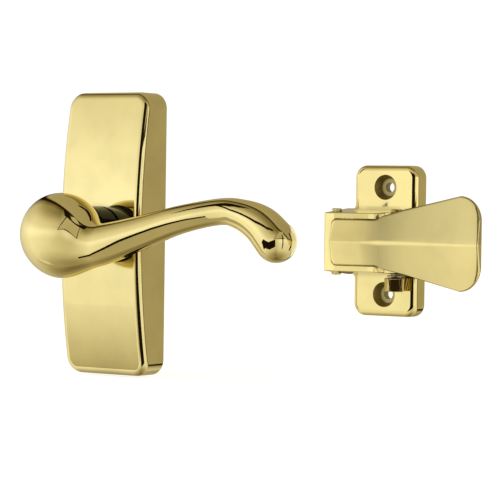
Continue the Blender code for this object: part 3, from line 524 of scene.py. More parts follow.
FINISHES = {
    "outside_brass": metal((0.90, 0.765, 0.345), 0.05),
    "lever_brass": metal((0.90, 0.76, 0.335), 0.04),
    # The screw seats' colour holds painted shade
    "inside_brass": darken_seats_with_painted_shade(metal((0.91, 0.765, 0.315), 0.06)),
    # The paddle's colour holds painted shade and a painted ridge highlight
    "paddle_brass": paint_paddle_shade_and_ridge_highlight(metal((0.86, 0.715, 0.295), 0.16, grain=0.3, wave=0.02)),
    "pin_brass": metal((0.88, 0.73, 0.31), 0.14),
    "knob_brass": metal((0.66, 0.50, 0.17), 0.24),
    "zinc_steel": metal((0.66, 0.67, 0.65), 0.28, stain=0.18),
    "black_steel": metal((0.09, 0.09, 0.09), 0.34, stain=0.2),
    "spring_wire": metal((0.40, 0.40, 0.41), 0.25, stain=0.2),
    "nylon": plastic((0.80, 0.78, 0.72), 0.45),
    "black_plastic": plastic((0.004, 0.004, 0.004), 0.10, shine=0.16),
}
for slot, material in FINISHES.items():
    material.name = slot.replace("_", " ")


# ---- outside half


def plate_depth(z):
    return PLATE_MIDDLE_DEPTH - (PLATE_MIDDLE_DEPTH - PLATE_END_DEPTH) * (z / (PLATE_HEIGHT / 2)) ** 2


def blind_boss(root, top, radius, bore, floor):
    """The profile of a round boss with a blind bore in its top."""
    return [(0, root), (radius, root), (radius, top), (bore, top), (bore, floor), (0, floor)]


def escutcheon():
    plate = cushion(
        "escutcheon", 0, (PLATE_WIDTH, PLATE_HEIGHT), PLATE_CORNER, PLATE_FILLET, plate_depth, 0, 56
    )
    inner = PLATE_WIDTH - 2 * PLATE_WALL, PLATE_HEIGHT - 2 * PLATE_WALL
    corner, fillet, past_back = PLATE_CORNER - PLATE_WALL, PLATE_FILLET - PLATE_WALL / 2, 1 * MM
    hollow = cushion(
        "hollow", 0, inner, corner, fillet, lambda z: plate_depth(z) - PLATE_WALL, past_back, 28, 5
    )
    cut(plate, hollow)
    bosses = []
    for side in (-1, 1):
        profile = blind_boss(-18.1 * MM, -GAP, 4.8 * MM, 3.5 * MM, -12.3 * MM)
        bosses.append(turned(f"post_boss{side}", profile, (0, side * SCREW_SPACING / 2), "Y", 48))
        profile = blind_boss(-19.1 * MM, -3.3 * MM, 2.6 * MM, 1.5 * MM, -10 * MM)
        bosses.append(turned(f"cover_boss{side}", profile, (side * COVER_BOSS_X, 0), "Y", 36))
    join(plate, *bosses)
    cut(plate, cylinder("plate_hole", (0, 0), "Y", 10.4 * MM, -25 * MM, -10 * MM))
    soften(plate, 0)
    dress(plate, "root", "outside_brass", "outside_escutcheon")


def smooth_union(a, b, blend):
    share = np.clip(0.5 + 0.5 * (b - a) / blend, 0, 1)
    return b + (a - b) * share - blend * share * (1 - share)


ARM_ROWS = catmull_rows(ARM_STATIONS, 16)


def lever_distance(points):
    """How far points lie outside the lever's surface: ball and arm, blended together."""
    ball = np.linalg.norm(points - np.array([0, BALL_Y, 0]), axis=1) - BALL_RADIUS
    arm = np.full(len(points), 1.0)
    for start, end in zip(ARM_ROWS, ARM_ROWS[1:]):
        along = end[:3] - start[:3]
        share = np.clip((points - start[:3]) @ along / (along @ along), 0, 1)
        away = np.linalg.norm(points - start[:3] - share[:, None] * along, axis=1)
        arm = np.minimum(arm, away - (start[3] + share * (end[3] - start[3])))
    return smooth_union(ball, arm, 6.0 * MM)


def settle(points, rounds):
    """Moves points along the distance's slope onto the lever's surface."""
    step = 0.02 * MM
    for _ in range(rounds):
        value = lever_distance(points)
        sides = np.eye(3) * step
        changes = [lever_distance(points + side) - lever_distance(points - side) for side in sides]
        slope = np.stack(changes, axis=1) / (2 * step)
        size = np.maximum((slope**2).sum(1), 0.2)
        points = points - (value / size)[:, None] * slope
    return points


def read_points(mesh):
    points = np.empty(len(mesh.vertices) * 3)
    mesh.vertices.foreach_get("co", points)
    return points.reshape(-1, 3)


def write_points(mesh, points):
    mesh.vertices.foreach_set("co", points.ravel())
    mesh.update()


def relax(mesh, points, rounds):
    """Evens out the spacing of points over the surface."""
    edges = np.empty(len(mesh.edges) * 2, np.int32)
    mesh.edges.foreach_get("vertices", edges)
    first, second = edges.reshape(-1, 2).T
    count = np.zeros(len(points))
    np.add.at(count, first, 1)
    np.add.at(count, second, 1)
    for _ in range(rounds):
        total = np.zeros_like(points)
        np.add.at(total, first, points[second])
        np.add.at(total, second, points[first])
        points = settle(0.5 * points + 0.5 * total / count[:, None], 1)
    return points


def lever():
    """The ball and arm as one smooth surface, grown from a ball and a string of beads."""

    def bead(name, x, y, z, radius, arcs, steps):
        arc = [math.pi * step / arcs for step in range(1, arcs)]
        profile = [(radius * math.sin(a), y - radius * math.cos(a)) for a in arc]
        return turned(name, [(0, y - radius), *profile, (0, y + radius)], (x, z), "Y", steps)

    body = bead("lever", 0, BALL_Y, 0, BALL_RADIUS, 40, 48)
    parts = [bead("bead", *row, 10, 20) for row in ARM_ROWS[::4]]
    shape = bmesh.new()
    for part in (body, *parts):
        shape.from_mesh(part.data)
    shape.to_mesh(body.data)
    shape.free()
    for part in parts:
        bpy.data.objects.remove(part)
    remesh = body.modifiers.new("voxels", "REMESH")
    remesh.mode = "VOXEL"
    remesh.voxel_size = 1.0 * MM
    apply_modifiers(body)
    points = relax(body.data, settle(read_points(body.data), 3), 6)
    write_points(body.data, points)
    finer = body.modifiers.new("finer", "SUBSURF")
    finer.levels = finer.render_levels = 1
    apply_modifiers(body)
    write_points(body.data, relax(body.data, settle(read_points(body.data), 2), 2))
    body.data.shade_smooth()
    body.data.set_sharp_from_angle(angle=math.radians(40))
    dress(body, "lever", "lever_brass", "lever_handle")


def shank():
    """The turned shank, which starts inside the ball."""
    start, groove_low = BALL_Y + 8 * MM, RING_BACK - RING_THICKNESS - GAP
    profile = [
        (0, start),
        (SHANK_RADIUS, start),
        (SHANK_RADIUS, groove_low),
        (RING_GROOVE_RADIUS, groove_low),
        (RING_GROOVE_RADIUS, RING_BACK + GAP),
        (SHANK_RADIUS, RING_BACK + GAP),
        (SHANK_RADIUS, SHANK_BACK - 0.4 * MM),
        (SHANK_RADIUS - 0.4 * MM, SHANK_BACK),
        (0, SHANK_BACK),
    ]
    made = turned("lever_shank", profile, (0, 0), "Y")
    half = SPINDLE_SIDE / 2 + GAP
    socket = box("socket", (-half, SPINDLE_FRONT - GAP, -half), (half, 5 * MM, half))
    cut(made, socket, screw_hole())
    soften(made, 0)
    dress(made, "lever", "lever_brass", "lever_handle")


def screw_hole():
    return cylinder("screw_hole", (0, SET_SCREW_Y), "Z", SET_SCREW_RADIUS + GAP, -20 * MM, 0, 40)


def sleeve():
    """The sleeve around the shank, flared where it meets the ball."""
    inner, edge, flare_length = SHANK_RADIUS + GAP, 0.7 * MM, 2.5 * MM

    def behind_ball(radius, clearance):
        return BALL_Y + math.sqrt(BALL_RADIUS**2 - radius**2) + clearance

    profile = []
    for step in range(9):
        radius = inner + (SLEEVE_RADIUS - inner) * step / 8
        profile.append((radius, behind_ball(radius, GAP + 0.3 * MM * step / 8)))
    profile.append((SLEEVE_FLARE, behind_ball(SLEEVE_FLARE, 1.0 * MM)))
    for step in range(9):
        share = step / 8
        across = SLEEVE_RADIUS + (SLEEVE_FLARE - SLEEVE_RADIUS) * (1 - share) ** 2
        profile.append((across, behind_ball(SLEEVE_FLARE, 1.7 * MM + flare_length * share)))
    for angle in quarter(6):
        across = SLEEVE_RADIUS - edge * (1 - math.cos(angle))
        profile.append((across, SLEEVE_BACK - edge * (1 - math.sin(angle))))
    profile.append((inner, SLEEVE_BACK))
    made = turned("sleeve", profile, (0, 0), "Y", 96)
    cut(made, screw_hole())
    soften(made, 0)
    dress(made, "lever", "black_plastic", "neck_sleeve")


# ---- inside half


def housing_half(y):
    """Half the housing's height at a depth, which grows towards the back."""
    return HOUSING_HALF + HOUSING_DRAFT * (y - HOUSING_FRONT)


def base_and_housing():
    size = BASE_WIDTH, BASE_HEIGHT
    base = cushion("base", BASE_X, size, BASE_CORNER, BASE_FILLET, lambda z: BASE_DEPTH, 0, 2, 8)
    left, right = HOUSING_LEFT, BASE_X + BASE_WIDTH / 2 - 1 * MM
    foot_x, foot_front, foot_back = 124.5 * MM, -6.0 * MM, -2.0 * MM
    plan = [(left, HOUSING_FRONT), *metres((141.0, -21.0), (143.6, -17.2)), (right, -16.2 * MM)]
    plan += [(right, foot_front), (foot_x, foot_front), (foot_x, foot_back), (left, foot_back)]
    ends = [lambda x, y, side=side: HOUSING_Z + side * housing_half(y) for side in (-1, 1)]
    housing = drafted_prism("housing", plan, "Z", *ends)
    round_edges(housing, 0.45 * MM, 4)
    corners = []
    blend, overlap, side_x = 1.4 * MM, 0.3 * MM, BASE_X - BASE_WIDTH / 2
    for side in (-1, 1):
        foot = HOUSING_Z + side * housing_half(-5 * MM)
        outline = [(side_x + overlap, foot - side * overlap), (side_x - blend, foot - side * overlap)]
        for angle in quarter(8):
            x = side_x - blend + blend * math.sin(angle)
            outline.append((x, foot + side * blend * (1 - math.cos(angle))))
        outline.append((side_x + overlap, foot + side * blend))
        corners.append(prism(f"corner{side}", outline, "Y", -6.2 * MM, -2.2 * MM))
    join(base, housing, *corners)
    cut(base, *pocket_cutters(), *hub_cutters(), *screw_cutters())
    soften(base, 0)
    dress(base, "root", "inside_brass", "inside_base")


# How far the base's cutters reach: past its left and right sides, in front of it and past its back
LEFT_OF_BASE, RIGHT_OF_BASE, BEFORE_BASE, BEHIND_BASE = 110 * MM, 160 * MM, -12 * MM, 2 * MM


def pocket_cutters():
    """The round-cornered mouth and the room behind it, in which the paddle's root lies."""
    low, high = HOUSING_Z - POCKET_HALF, HOUSING_Z + POCKET_HALF
    mouth = [(RIGHT_OF_BASE, high), (RIGHT_OF_BASE, low)]
    for centre_z, first in ((low + POCKET_CORNER, 1.5), (high - POCKET_CORNER, 1.0)):
        for step in range(9):
            angle = math.pi * (first - step / 16)
            x = POCKET_LEFT + POCKET_CORNER * (1 + math.cos(angle))
            mouth.append((x, centre_z + POCKET_CORNER * math.sin(angle)))
    floor, base_left = -BASE_DEPTH - 0.1 * MM, BASE_X - BASE_WIDTH / 2 - 0.1 * MM
    room = [(LEFT_OF_BASE, FRAME_BACK), (RIGHT_OF_BASE, FRAME_BACK), (RIGHT_OF_BASE, floor)]
    room += [(base_left, floor), (base_left, BEHIND_BASE), (LEFT_OF_BASE, BEHIND_BASE)]
    overlap = 0.2 * MM
    return prism("mouth", mouth, "Y", -30 * MM, FRAME_BACK + overlap), prism("room", room, "Z", low, high)


def hub_cutters():
    """The hub's two bores, and the flat recess for the plate that holds it."""
    centre, play = (BASE_X, 0), 0.4 * MM
    across, up = 12.3 * MM, 16.3 * MM
    flange_front = HUB_FLANGE_FRONT - GAP
    return (
        cylinder("hub_bore", centre, "Y", CAM_RADIUS + play, BEFORE_BASE, BEHIND_BASE),
        cylinder("flange_bore", centre, "Y", HUB_FLANGE_RADIUS + play, flange_front, BEHIND_BASE),
        box("recess", (BASE_X - across, RECESS_FLOOR, -up), (BASE_X + across, BEHIND_BASE, up)),
    )


def screw_cutters():
    """The two screw seats and the bores for the small screws, the pin and the lock's shaft."""
    seat = [(0, BEFORE_BASE), (RIM_RADIUS + 0.1 * MM, BEFORE_BASE), (RIM_RADIUS, -BASE_DEPTH)]
    seat += [(SEAT_RADIUS, SEAT_Y), (HOLE_RADIUS, SEAT_Y), (HOLE_RADIUS, BEHIND_BASE), (0, BEHIND_BASE)]
    cutters = []
    for side in (-1, 1):
        cutters.append(turned(f"seat{side}", seat, (BASE_X, side * SCREW_SPACING / 2), "Y", 64))
        bore = BASE_X, side * 13.5 * MM
        cutters.append(cylinder(f"retainer_bore{side}", bore, "Y", 1.3 * MM, -6.8 * MM, 0, 24))
    for name, centre, radius in (
        ("pin_hole", (PIN_X, PIN_Y), PIN_RADIUS),
        ("lock_hole", (LOCK_X, LOCK_Y), LOCK_SHAFT_RADIUS),
    ):
        cutters.append(cylinder(name, centre, "Z", radius + GAP, -25 * MM, 25 * MM, 32))
    return cutters


def paddle_row(x):
    """Ridge y, half height, back y and middle height of the paddle at x."""
    near = np.linspace(x - 1.5 * MM, x + 1.5 * MM, 9) / MM
    near = np.clip(near, PADDLE_X[0], PADDLE_X[-1])
    ridge = np.interp(near, PADDLE_X, PADDLE_RIDGE).mean() * MM
    back = np.interp(near, PADDLE_X, PADDLE_BACK).mean() * MM
    narrow = np.clip(np.linspace(x - 0.6 * MM, x + 0.6 * MM, 5) / MM, PADDLE_X[0], PADDLE_X[-1])
    half = np.interp(narrow, PADDLE_X, PADDLE_HALF).mean() * MM
    root = PADDLE_X[0] * MM
    if x < root + ROOT_CORNER:
        half -= ROOT_CORNER - math.sqrt(max(ROOT_CORNER**2 - (root + ROOT_CORNER - x) ** 2, 0))
    start = FAN_END - FAN_CORNER
    if x > start:
        half = FAN_HALF - FAN_CORNER + math.sqrt(max(FAN_CORNER**2 - (x - start) ** 2, 0))
    level_from, level_over = 140 * MM, 15 * MM
    share = min(max((x - level_from) / level_over, 0), 1)
    return ridge, half, back, HOUSING_Z * (1 - share)


def paddle_positions():
    """The x of each row of the paddle's mesh, closer together in its rounded corners."""
    root, start, count = PADDLE_X[0] * MM, FAN_END - FAN_CORNER, 64
    straight = root + ROOT_CORNER
    found = [root + ROOT_CORNER * (1 - math.cos(angle)) for angle in quarter(10)[:-1]]
    found += [straight + (start - straight) * i / count for i in range(count)]
    return found + [start + FAN_CORNER * math.sin(angle) for angle in quarter(24)]


def edge_distance(points, outline):
    """Each point's distance from the closed outline."""
    nearest = np.full(len(points), 1.0)
    for start, end in zip(outline, np.roll(outline, -1, 0)):
        along = end - start
        share = np.clip((points - start) @ along / max(along @ along, 1e-18), 0, 1)
        nearest = np.minimum(nearest, np.linalg.norm(points - start - share[:, None] * along, axis=1))
    return nearest


def paddle_shell():
    """The paddle's plate: a roof with a soft ridge, rounded along its whole outline."""
    edge, back_edge, soft = 0.75 * MM, 0.45 * MM, 0.55 * MM
    xs = paddle_positions()
    rows = [paddle_row(x) for x in xs]
    insets = [edge * (1 - math.cos(angle)) for angle in quarter(6)]
    upper = [(x, middle + half) for x, (_, half, _, middle) in zip(xs, rows)]
    lower = [(x, middle - half) for x, (_, half, _, middle) in zip(xs, rows)]
    outline = np.array(upper + lower[::-1])
    inner = 28
    points = []
    for x, (ridge, half, back, middle) in zip(xs, rows):
        spread = [half - inset for inset in insets]
        heights = spread[:-1] + [spread[-1] * (1 - 2 * i / inner) for i in range(inner + 1)]
        heights += [-value for value in reversed(spread[:-1])]
        points.append([(x, middle + z, ridge, back, abs(z) / half) for z in heights])
    points = np.array(points)
    away = edge_distance(points[..., :2].reshape(-1, 2), outline).reshape(points.shape[:2])
    share = points[..., 4]
    slack = soft / FAN_HALF
    roof = np.sqrt(share**2 + slack**2) - slack
    fan_share = np.clip((points[..., 0] - FAN_RISE_START) / FAN_RISE_LENGTH, 0, 1)
    height = ROOT_RISE + (FAN_RISE - ROOT_RISE) * fan_share
    rise = points[..., 2] + height * roof / (math.sqrt(1 + slack**2) - slack)

    def rounded(radius):
        inside = np.clip(radius - away, 0, radius)
        return radius - np.sqrt(radius**2 - inside**2)

    front = rise + rounded(edge)
    rear = points[..., 3] - rounded(back_edge)
    row_count, column_count = away.shape
    vertices = [
        (points[i, j, 0], layer[i, j], points[i, j, 1])
        for layer in (front, rear)
        for i in range(row_count)
        for j in range(column_count)
    ]
    back_start = row_count * column_count
    faces = grid_faces(row_count, column_count)
    faces += [tuple(back_start + index for index in face) for face in faces]
    last = (row_count - 1) * column_count
    rim = list(range(column_count))
    rim += [i * column_count + column_count - 1 for i in range(1, row_count)]
    rim += [last + j for j in range(column_count - 2, -1, -1)]
    rim += [i * column_count for i in range(row_count - 2, 0, -1)]
    for index, here in enumerate(rim):
        after = rim[(index + 1) % len(rim)]
        faces.append((here, after, back_start + after, back_start + here))
    return mesh_object("paddle", vertices, faces)


def paddle():
    shell = paddle_shell()
    low, high = HOUSING_Z - KNUCKLE_HALF, HOUSING_Z + KNUCKLE_HALF
    neck = metres(
        (122.6, -18.5), (127.5, -18.5), (127.5, -15.0), (121.0, -11.4), (118.0, -12.0), (119.5, -16.6),
        (122.6, -16.9),
    )
    nose = metres(
        (117.0, -12.6), (111.3, -8.5), (110.7, -7.6), (110.7, -5.2), (111.1, -4.2), (112.1, -3.4),
        (113.2, -3.2), (117.0, -3.4), (121.2, -11.8), (119.5, -13.5),
    )
    join(
        shell,
        cylinder("knuckle", (PIN_X, PIN_Y), "Z", KNUCKLE_RADIUS, low, high, 48),
        prism("neck", neck, "Z", low, high),
        prism("nose", nose, "Z", HOUSING_Z - 7.5 * MM, HOUSING_Z + 7.5 * MM),
        box("heel", (HEEL_X - 0.7 * MM, -18.2 * MM, -0.8 * MM), (HEEL_X + 0.7 * MM, HEEL_TIP, 0.8 * MM)),
        box("rib", (HEEL_X - 2.2 * MM, -18.2 * MM, -0.8 * MM), (HEEL_X, -11.5 * MM, 0.8 * MM)),
        box("lug", (151.0 * MM, -22.0 * MM, -2.0 * MM), (153.0 * MM, -12.4 * MM, 2.0 * MM)),
    )
    lip, relief_back, corner_z, over = HOUSING_FRONT - GAP, -17.2 * MM, 7.2 * MM, 12 * MM
    cutters = [box("relief", (119 * MM, lip, -over), (neck[0][0], relief_back, over))]
    for z in (HOUSING_Z + corner_z, HOUSING_Z - corner_z - over):
        cutters.append(box("corner", (119 * MM, lip, z), (125.2 * MM, relief_back, z + over)))
    room_low, room_high = HOUSING_Z - SPRING_ROOM, HOUSING_Z + SPRING_ROOM
    centre = PIN_X, PIN_Y
    cutters.append(cylinder("spring_room", centre, "Z", SPRING_ROOM, room_low, room_high, 48))
    cutters.append(box("leg_room", (PIN_X, -17.6 * MM, room_low), (129 * MM, -10.3 * MM, room_high)))
    cutters.append(cylinder("pin_bore", centre, "Z", PIN_RADIUS + GAP, -20 * MM, 20 * MM, 32))
    cut(shell, *cutters)
    soften(shell, 0)
    dress(shell, "paddle", "paddle_brass", "inside_paddle")


def upper_head(radius, head_radius, base):
    """The profile from a shaft over its low domed head, with a dimple in the middle."""
    top = base + HEAD_HEIGHT
    dome = [
        (head_radius * (0.7 + 0.3 * math.cos(a)), base + HEAD_HEIGHT * (0.3 + 0.7 * math.sin(a)))
        for a in quarter(5)
    ]
    dimple = [(0.45 * head_radius, top), (0.32 * head_radius, base + HEAD_HEIGHT * 0.6)]
    return [(radius, base), (head_radius, base), *dome, *dimple, (0, base + HEAD_HEIGHT * 0.35)]


def pin():
    """The hinge pin, a rivet with a plainer head below."""
    reach = housing_half(PIN_Y) + 0.25 * MM
    low, high = HOUSING_Z - reach, HOUSING_Z + reach
    dome = [
        (PIN_HEAD_RADIUS * (0.6 + 0.4 * math.sin(a)), low - HEAD_HEIGHT * (0.3 + 0.7 * math.cos(a)))
        for a in quarter(5)
    ]
    lower = [(0, low - HEAD_HEIGHT), *dome, (PIN_HEAD_RADIUS, low), (PIN_RADIUS, low)]
    profile = lower + upper_head(PIN_RADIUS, PIN_HEAD_RADIUS, high)
    made = turned("hinge_pin", profile, (PIN_X, PIN_Y), "Z", 48)
    soften(made, 0)
    dress(made, "root", "pin_brass", "pivot_pin")


def knob():
    """The thumb knob, lobed on one side and knurled on the other, its shaft and the lock cam."""
    plan = list(KNOB_PLAN)
    for index in range(KNURLS):
        plan.append((KNURL_START + KNURL_STEP * index, KNURL_HIGH if index % 2 else KNURL_LOW))
    round_over, height = 0.7 * MM, KNOB_TOP - KNOB_BOTTOM
    levels = [(round_over * (1 - math.cos(a)), round_over * (1 - math.sin(a))) for a in quarter(5)]
    middle = [(round_over + (height - 2 * round_over) * i / 6, 0.0) for i in range(1, 6)]
    levels += middle + [(height - rise, inset) for rise, inset in reversed(levels)]
    count = len(plan)
    vertices = []
    for rise, inset in levels:
        twist = KNOB_TWIST * (0.5 - rise / height)
        for degrees, radius in plan:
            angle, reach = math.radians(degrees) + twist, radius * MM - inset
            x, y = LOCK_X + reach * math.sin(angle), LOCK_Y - reach * math.cos(angle)
            vertices.append((x, y, KNOB_BOTTOM + rise))
    last = (len(levels) - 1) * count
    ends = [tuple(range(count)), tuple(range(last, last + count))]
    faces = ring_faces(len(levels), count) + ends
    made = mesh_object("thumb_knob", vertices, faces)
    foot, reach = -17 * MM, HOUSING_Z + housing_half(LOCK_Y) + 0.25 * MM
    profile = [(0, foot), (LOCK_SHAFT_RADIUS, foot), *upper_head(LOCK_SHAFT_RADIUS, 2.5 * MM, reach)]
    cam_x = LOCK_X - 1.0 * MM
    join(
        made,
        turned("shaft", profile, (LOCK_X, LOCK_Y), "Z", 48),
        cylinder("cam", (cam_x, LOCK_Y), "Z", 2.3 * MM, -2 * MM, 2 * MM, 36),
    )
    soften(made, 0, sharp=40)
    dress(made, "lock", "knob_brass", "lock_knob")


# ---- springs and inner pieces


def coil(name, centre, axis, radius, wire, angles, ends, legs, node):
    """A torsion spring: a leg, a coil from the first angle to the second, and a leg."""
    count = int(abs(angles[1] - angles[0]) / (2 * math.pi) * 40)
    points = [legs[0]]
    for step in range(count + 1):
        share = step / count
        angle = angles[0] + (angles[1] - angles[0]) * share
        u, v = centre[0] + radius * math.cos(angle), centre[1] + radius * math.sin(angle)
        w = ends[0] + (ends[1] - ends[0]) * share
        points.append((u, w, v) if axis == "Y" else (u, v, w))
    points.append(legs[1])
    curve = bpy.data.curves.new(name, "CURVE")
    curve.dimensions = "3D"
    curve.bevel_depth = wire
    curve.bevel_resolution = 4
    curve.use_fill_caps = True
    spline = curve.splines.new("POLY")
    spline.points.add(len(points) - 1)
    for target, point in zip(spline.points, points):
        target.co = (*point, 1.0)
    made = apply_modifiers(new_object(name, curve))
    made.data.shade_smooth()
    made.data.set_sharp_from_angle(angle=math.radians(50))
    dress(made, "root", "spring_wire", node)


def springs():
    leg_x, top, radius = 2.3 * MM, 16.0 * MM, 10 * MM
    start = math.acos(leg_x / radius)
    ends = front, back = -12.0 * MM, -5.0 * MM
    angles = start, start + 2 * math.pi * 4 + math.pi - 2 * start
    legs = (leg_x, front, top), (-leg_x, back, top)
    coil("lever_spring", (0, 0), "Y", radius, 0.7 * MM, angles, ends, legs, "lever_return_spring")
    radius = 2.9 * MM
    ends = low, high = HOUSING_Z - 3.2 * MM, HOUSING_Z + 3.2 * MM
    angles = -math.pi / 2, -math.pi / 2 - (2 * math.pi * 4 + math.pi)
    legs = (127.5 * MM, PIN_Y - radius, low), (126.0 * MM, -8.5 * MM, high)
    coil("pin_spring", (PIN_X, PIN_Y), "Z", radius, 0.45 * MM, angles, ends, legs, "paddle_spring")


def softened_copies():
    """Each inner piece again with its edges rounded a little."""
    for node, bevel, finish in (
        ("spindle", 0.35, "zinc_steel"),
        ("spindle_set_screw", 0.12, "black_steel"),
        ("lever_bushing", 0.2, "nylon"),
        ("spring_driver", 0.2, "zinc_steel"),
        ("retaining_ring", 0.15, "black_steel"),
        ("spring_cover", 0.2, "zinc_steel"),
        ("cover_screw_left", 0.1, "zinc_steel"),
        ("cover_screw_right", 0.1, "zinc_steel"),
        ("mounting_post_upper", 0.25, "zinc_steel"),
        ("mounting_post_lower", 0.25, "zinc_steel"),
        ("spindle_hub", 0.2, "zinc_steel"),
        ("hub_retainer", 0.2, "zinc_steel"),
        ("retainer_screw_upper", 0.1, "zinc_steel"),
        ("retainer_screw_lower", 0.1, "zinc_steel"),
        ("lock_spring_washer", 0.12, "spring_wire"),
    ):
        source = frame["nodes"][node]
        copy = new_object(f"{node}_finish", source.data.copy())
        tidy(copy)
        soften(copy, bevel * MM, 2, 40)
        dress(copy, source["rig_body"], finish, node)


# ---- studio


# The dimmer the light, the warmer it is: its green and blue fall off by these powers
GREEN_POWER, BLUE_POWER = 1.12, 1.5


def towards(azimuth, elevation):
    """The direction out from the object's front, turned to the right and up by degrees."""
    a, e = math.radians(azimuth), math.radians(elevation)
    return Vector((math.sin(a) * math.cos(e), -math.cos(a) * math.cos(e), math.sin(e)))


def studio():
    """A white tent, open behind: bright in front, dim at the back, with a dark seam between."""
    world = bpy.data.worlds.new("tent")
    bpy.context.scene.world = world
    world.use_nodes = True
    nodes = Nodes(world.node_tree)
    background = world.node_tree.nodes["Background"]
    direction = nodes.add("TexCoord").outputs["Generated"]
    x, y, z = nodes.add("SeparateXYZ", {"Vector": direction}).outputs
    azimuth = nodes.math("ARCTAN2", x, nodes.math("MULTIPLY", y, -1.0))
    around = nodes.math("ADD", nodes.math("MULTIPLY", azimuth, 0.5 / math.pi), 0.5)
    height = nodes.math("ADD", nodes.math("MULTIPLY", nodes.math("ARCSINE", z), 1 / math.pi), 0.5)

    ring = [
        (-180, 0.50), (-140, 0.55), (-121, 0.70), (-91, 0.95), (-60, 1.13), (-37, 1.09), (-28, 1.07),
        (0, 0.96), (18, 0.86), (33, 0.76), (42, 0.92), (60, 1.06), (105, 1.02), (180, 0.80),
    ]
    sides = nodes.ramp(around, [(degrees / 360 + 0.5, value) for degrees, value in ring])
    column = [
        (-90, 0.28), (-68, 0.42), (-55, 0.62), (-38, 0.84), (-25, 0.88), (-11, 0.90), (0, 1.0),
        (6, 1.05), (12, 0.96), (20, 0.80), (30, 0.74), (40, 0.60), (50, 0.42), (60, 0.30), (90, 0.22),
    ]
    rows = nodes.ramp(height, [(degrees / 180 + 0.5, value) for degrees, value in column])
    # How far a direction lies behind the tent's front edge, which leans over the object
    behind = nodes.math("ADD", y, nodes.math("MULTIPLY", x, 0.3))
    behind = nodes.math("ADD", behind, nodes.math("MULTIPLY", z, 0.76))
    seam = nodes.math("ADD", nodes.math("MULTIPLY", behind, 0.25), 0.5)
    front = nodes.ramp(seam, [(0.60, 1), (0.632, 0.66), (0.650, 0.38), (0.658, 0.0)])
    back = nodes.ramp(seam, [(0.674, 0.0), (0.685, 0.43), (0.9, 0.36)])
    mixed = nodes.math("ADD", nodes.math("MULTIPLY", nodes.math("MULTIPLY", sides, rows), front), back)
    mixed = nodes.math("MAXIMUM", mixed, 0.012)
    tinted = nodes.add("CombineXYZ", {"X": mixed})
    for channel, power in ((1, GREEN_POWER), (2, BLUE_POWER)):
        nodes.link(nodes.math("POWER", mixed, power), tinted.inputs[channel])
    is_camera = nodes.add("LightPath").outputs["Is Camera Ray"]
    seen = nodes.add("Mix", data_type="VECTOR", factor_mode="UNIFORM")
    nodes.link(is_camera, seen.inputs[0])
    nodes.link(tinted.outputs[0], seen.inputs[4])
    seen.inputs[5].default_value = (1.05, 1.05, 1.05)
    nodes.link(seen.outputs[1], background.inputs["Color"])
    background.inputs["Strength"].default_value = 1.0


def card(name, rows):
    """A studio card that shows only in reflections, from rows of (point, brightness) pairs."""
    points = [pair for row in rows for pair in row]
    faces = grid_faces(len(rows), len(rows[0]))
    made = mesh_object(name, [Vector(point) * MM for point, _ in points], faces)
    glow = made.data.color_attributes.new("glow", "FLOAT_COLOR", "POINT")
    for item, (_, light) in zip(glow.data, points):
        item.color = light, light**GREEN_POWER, light**BLUE_POWER, 1
    material, nodes, shader = fresh_material(name)
    painted = nodes.add("Attribute", attribute_name="glow")
    light = nodes.add("Emission", {"Color": painted.outputs["Color"]})
    nodes.link(light.outputs[0], nodes.tree.nodes["Material Output"].inputs["Surface"])
    nodes.tree.nodes.remove(shader)
    made.data.materials.append(material)
    made.visible_camera = False
    made.visible_diffuse = False
    made.visible_shadow = False


def upright_card(name, y, x_range, z_range, brightness):
    card(name, [[((x, y, z), brightness) for x in x_range] for z in z_range])


def hanging_card(name, y, edge, drop, brightness):
    """A card whose top follows the edge's (x, z) points and which reaches down by drop."""
    card(name, [[((x, y, z - down), brightness) for x, z in edge] for down in (0, drop)])


def far_card(name, directions, brightness):
    """A four-cornered card in the distance, from (azimuth, elevation) pairs in degrees."""
    middle, reach = Vector((10, -60, 3)), 900
    a, b, c, d = [(middle + towards(*angles) * reach, brightness) for angles in directions]
    card(name, [[a, b], [d, c]])


BLACK, GREY = 0.012, 0.46


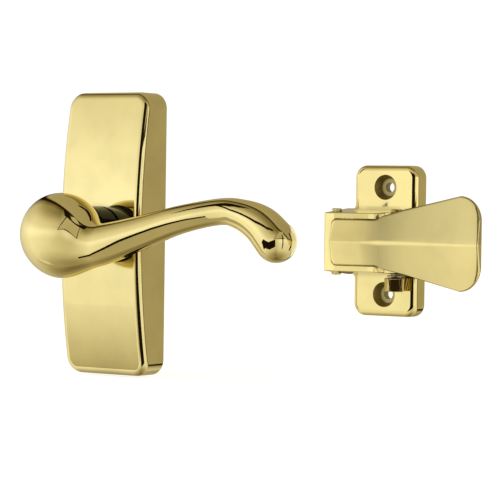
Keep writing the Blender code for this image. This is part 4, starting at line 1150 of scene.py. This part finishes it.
def cards():
    """Small dark and pale cards, which draw the fine lines in the polished brass."""
    # The edge of the dark table top, seen along the arm's lower half
    table_edge = [
        (16, -15.5), (21, -11.4), (33.4, -3.2), (42, 0.6), (49.3, 3.2), (56.4, 4.5), (65, 5.6), (73.6, 4.8),
    ]
    thickness = 2.7
    hanging_card("table_edge", -60, table_edge, thickness, BLACK)
    hanging_card("table_front", -60, [(x, z - thickness) for x, z in table_edge], 60, GREY)
    # Above the arm's far end, and in front of its tip
    arm_line = [(73, 26), (84, 16.6), (89, 15), (99, 11.8), (107, 11.7), (112, 16)]
    hanging_card("arm_line", -56, arm_line, 2.4, BLACK)
    hanging_card("tip_spot", -54, [(101.5, -1.5), (104, 0.8), (108, -0.8), (113.5, 1.5)], 6.5, BLACK)
    # Beside the escutcheon and the base, for the lines in their rounded edges
    ribbon = []
    for z in range(-64, 65, 4):
        y = -plate_depth(z * MM) / MM - 5.5
        outer = 28.5 + 5.5 * min(max((-18 - z) / 25, 0), 1)
        ribbon.append([((x, y, z), BLACK) for x in (21.2, outer)])
    card("plate_line", ribbon)
    upright_card("arm_patch", -75, (30, 69), (42, 115), BLACK)
    upright_card("base_upper_line", -20, (144.6, 160), (13.5, 34), BLACK)
    upright_card("base_lower_line", -20, (144.6, 160), (-34, -14.5), BLACK)
    upright_card("paddle_line", -75, (176, 200), (-60, 60), BLACK)
    # Between the lever's tip and the inside half, which would mirror the dark tip
    upright_card("root_upper", -28, (117.7, 134), (0.5, 14), 0.84)
    upright_card("root_lower", -28, (117.7, 134), (-14, 0.5), 0.96)
    upright_card("frame_front", -28, (110.5, 117.6), (-13.5, 12.5), 1.1)
    # Low in front, where the plate's lower half darkens
    fade = ((-48, 0.93), (-65, 0.78), (-79, 0.66), (-95, 0.48), (-115, 0.40))
    card("plate_fade", [[((x, -75, z), value) for x in (-95, -14)] for z, value in fade])
    # The far edge of the tent's opening, a dark angle in the ball
    far_card("opening", [(27, 14), (60, 50), (86, 46), (80, 15)], 0.52)
    far_card("opening_top", [(25, 13), (58, 52), (61, 50), (29, 14)], BLACK)
    far_card("opening_foot", [(25, 13), (29, 15), (82, 16), (82, 12.5)], BLACK)


def floor():
    """A plain white table, seen from just above its level."""
    size, drop = 6.0, cad_bounds[0][2] - 1.0 * MM
    corners = [(-size, -size, drop), (size, -size, drop), (size, size, drop), (-size, size, drop)]
    made = mesh_object("floor", corners, [(0, 1, 2, 3)])
    material, _, shader = fresh_material("white table")
    shader.inputs["Base Color"].default_value = (0.9, 0.9, 0.9, 1)
    shader.inputs["Roughness"].default_value = 0.9
    shader.inputs["Emission Color"].default_value = (1, 1, 1, 1)
    shader.inputs["Emission Strength"].default_value = 0.75
    made.data.materials.append(material)
    made.visible_glossy = False


def camera():
    """Level with the lock, from 33 degrees to the right, a metre away."""
    azimuth, elevation, roll = 32.842, 1.465, math.radians(0.823)
    target, distance = Vector((67.008, 0, -5.712)) * MM, 1.0
    right = towards(azimuth + 90, 0)
    back = towards(azimuth, elevation)
    up = back.cross(right)
    across = right * math.cos(roll) + up * math.sin(roll)
    upward = up * math.cos(roll) - right * math.sin(roll)
    data = bpy.data.cameras.new("camera")
    data.lens, data.sensor_width = 165.84, 36
    data.clip_start, data.clip_end = 0.05, 50
    made = new_object("camera", data)
    axes = Matrix((across, upward, back)).transposed().to_4x4()
    made.matrix_world = Matrix.Translation(target + back * distance) @ axes
    bpy.context.scene.camera = made


escutcheon()
lever()
shank()
sleeve()
base_and_housing()
paddle()
pin()
knob()
springs()
softened_copies()
studio()
cards()
floor()
camera()
bpy.context.scene.view_settings.view_transform = "Standard"
bpy.context.scene.view_settings.look = "None"
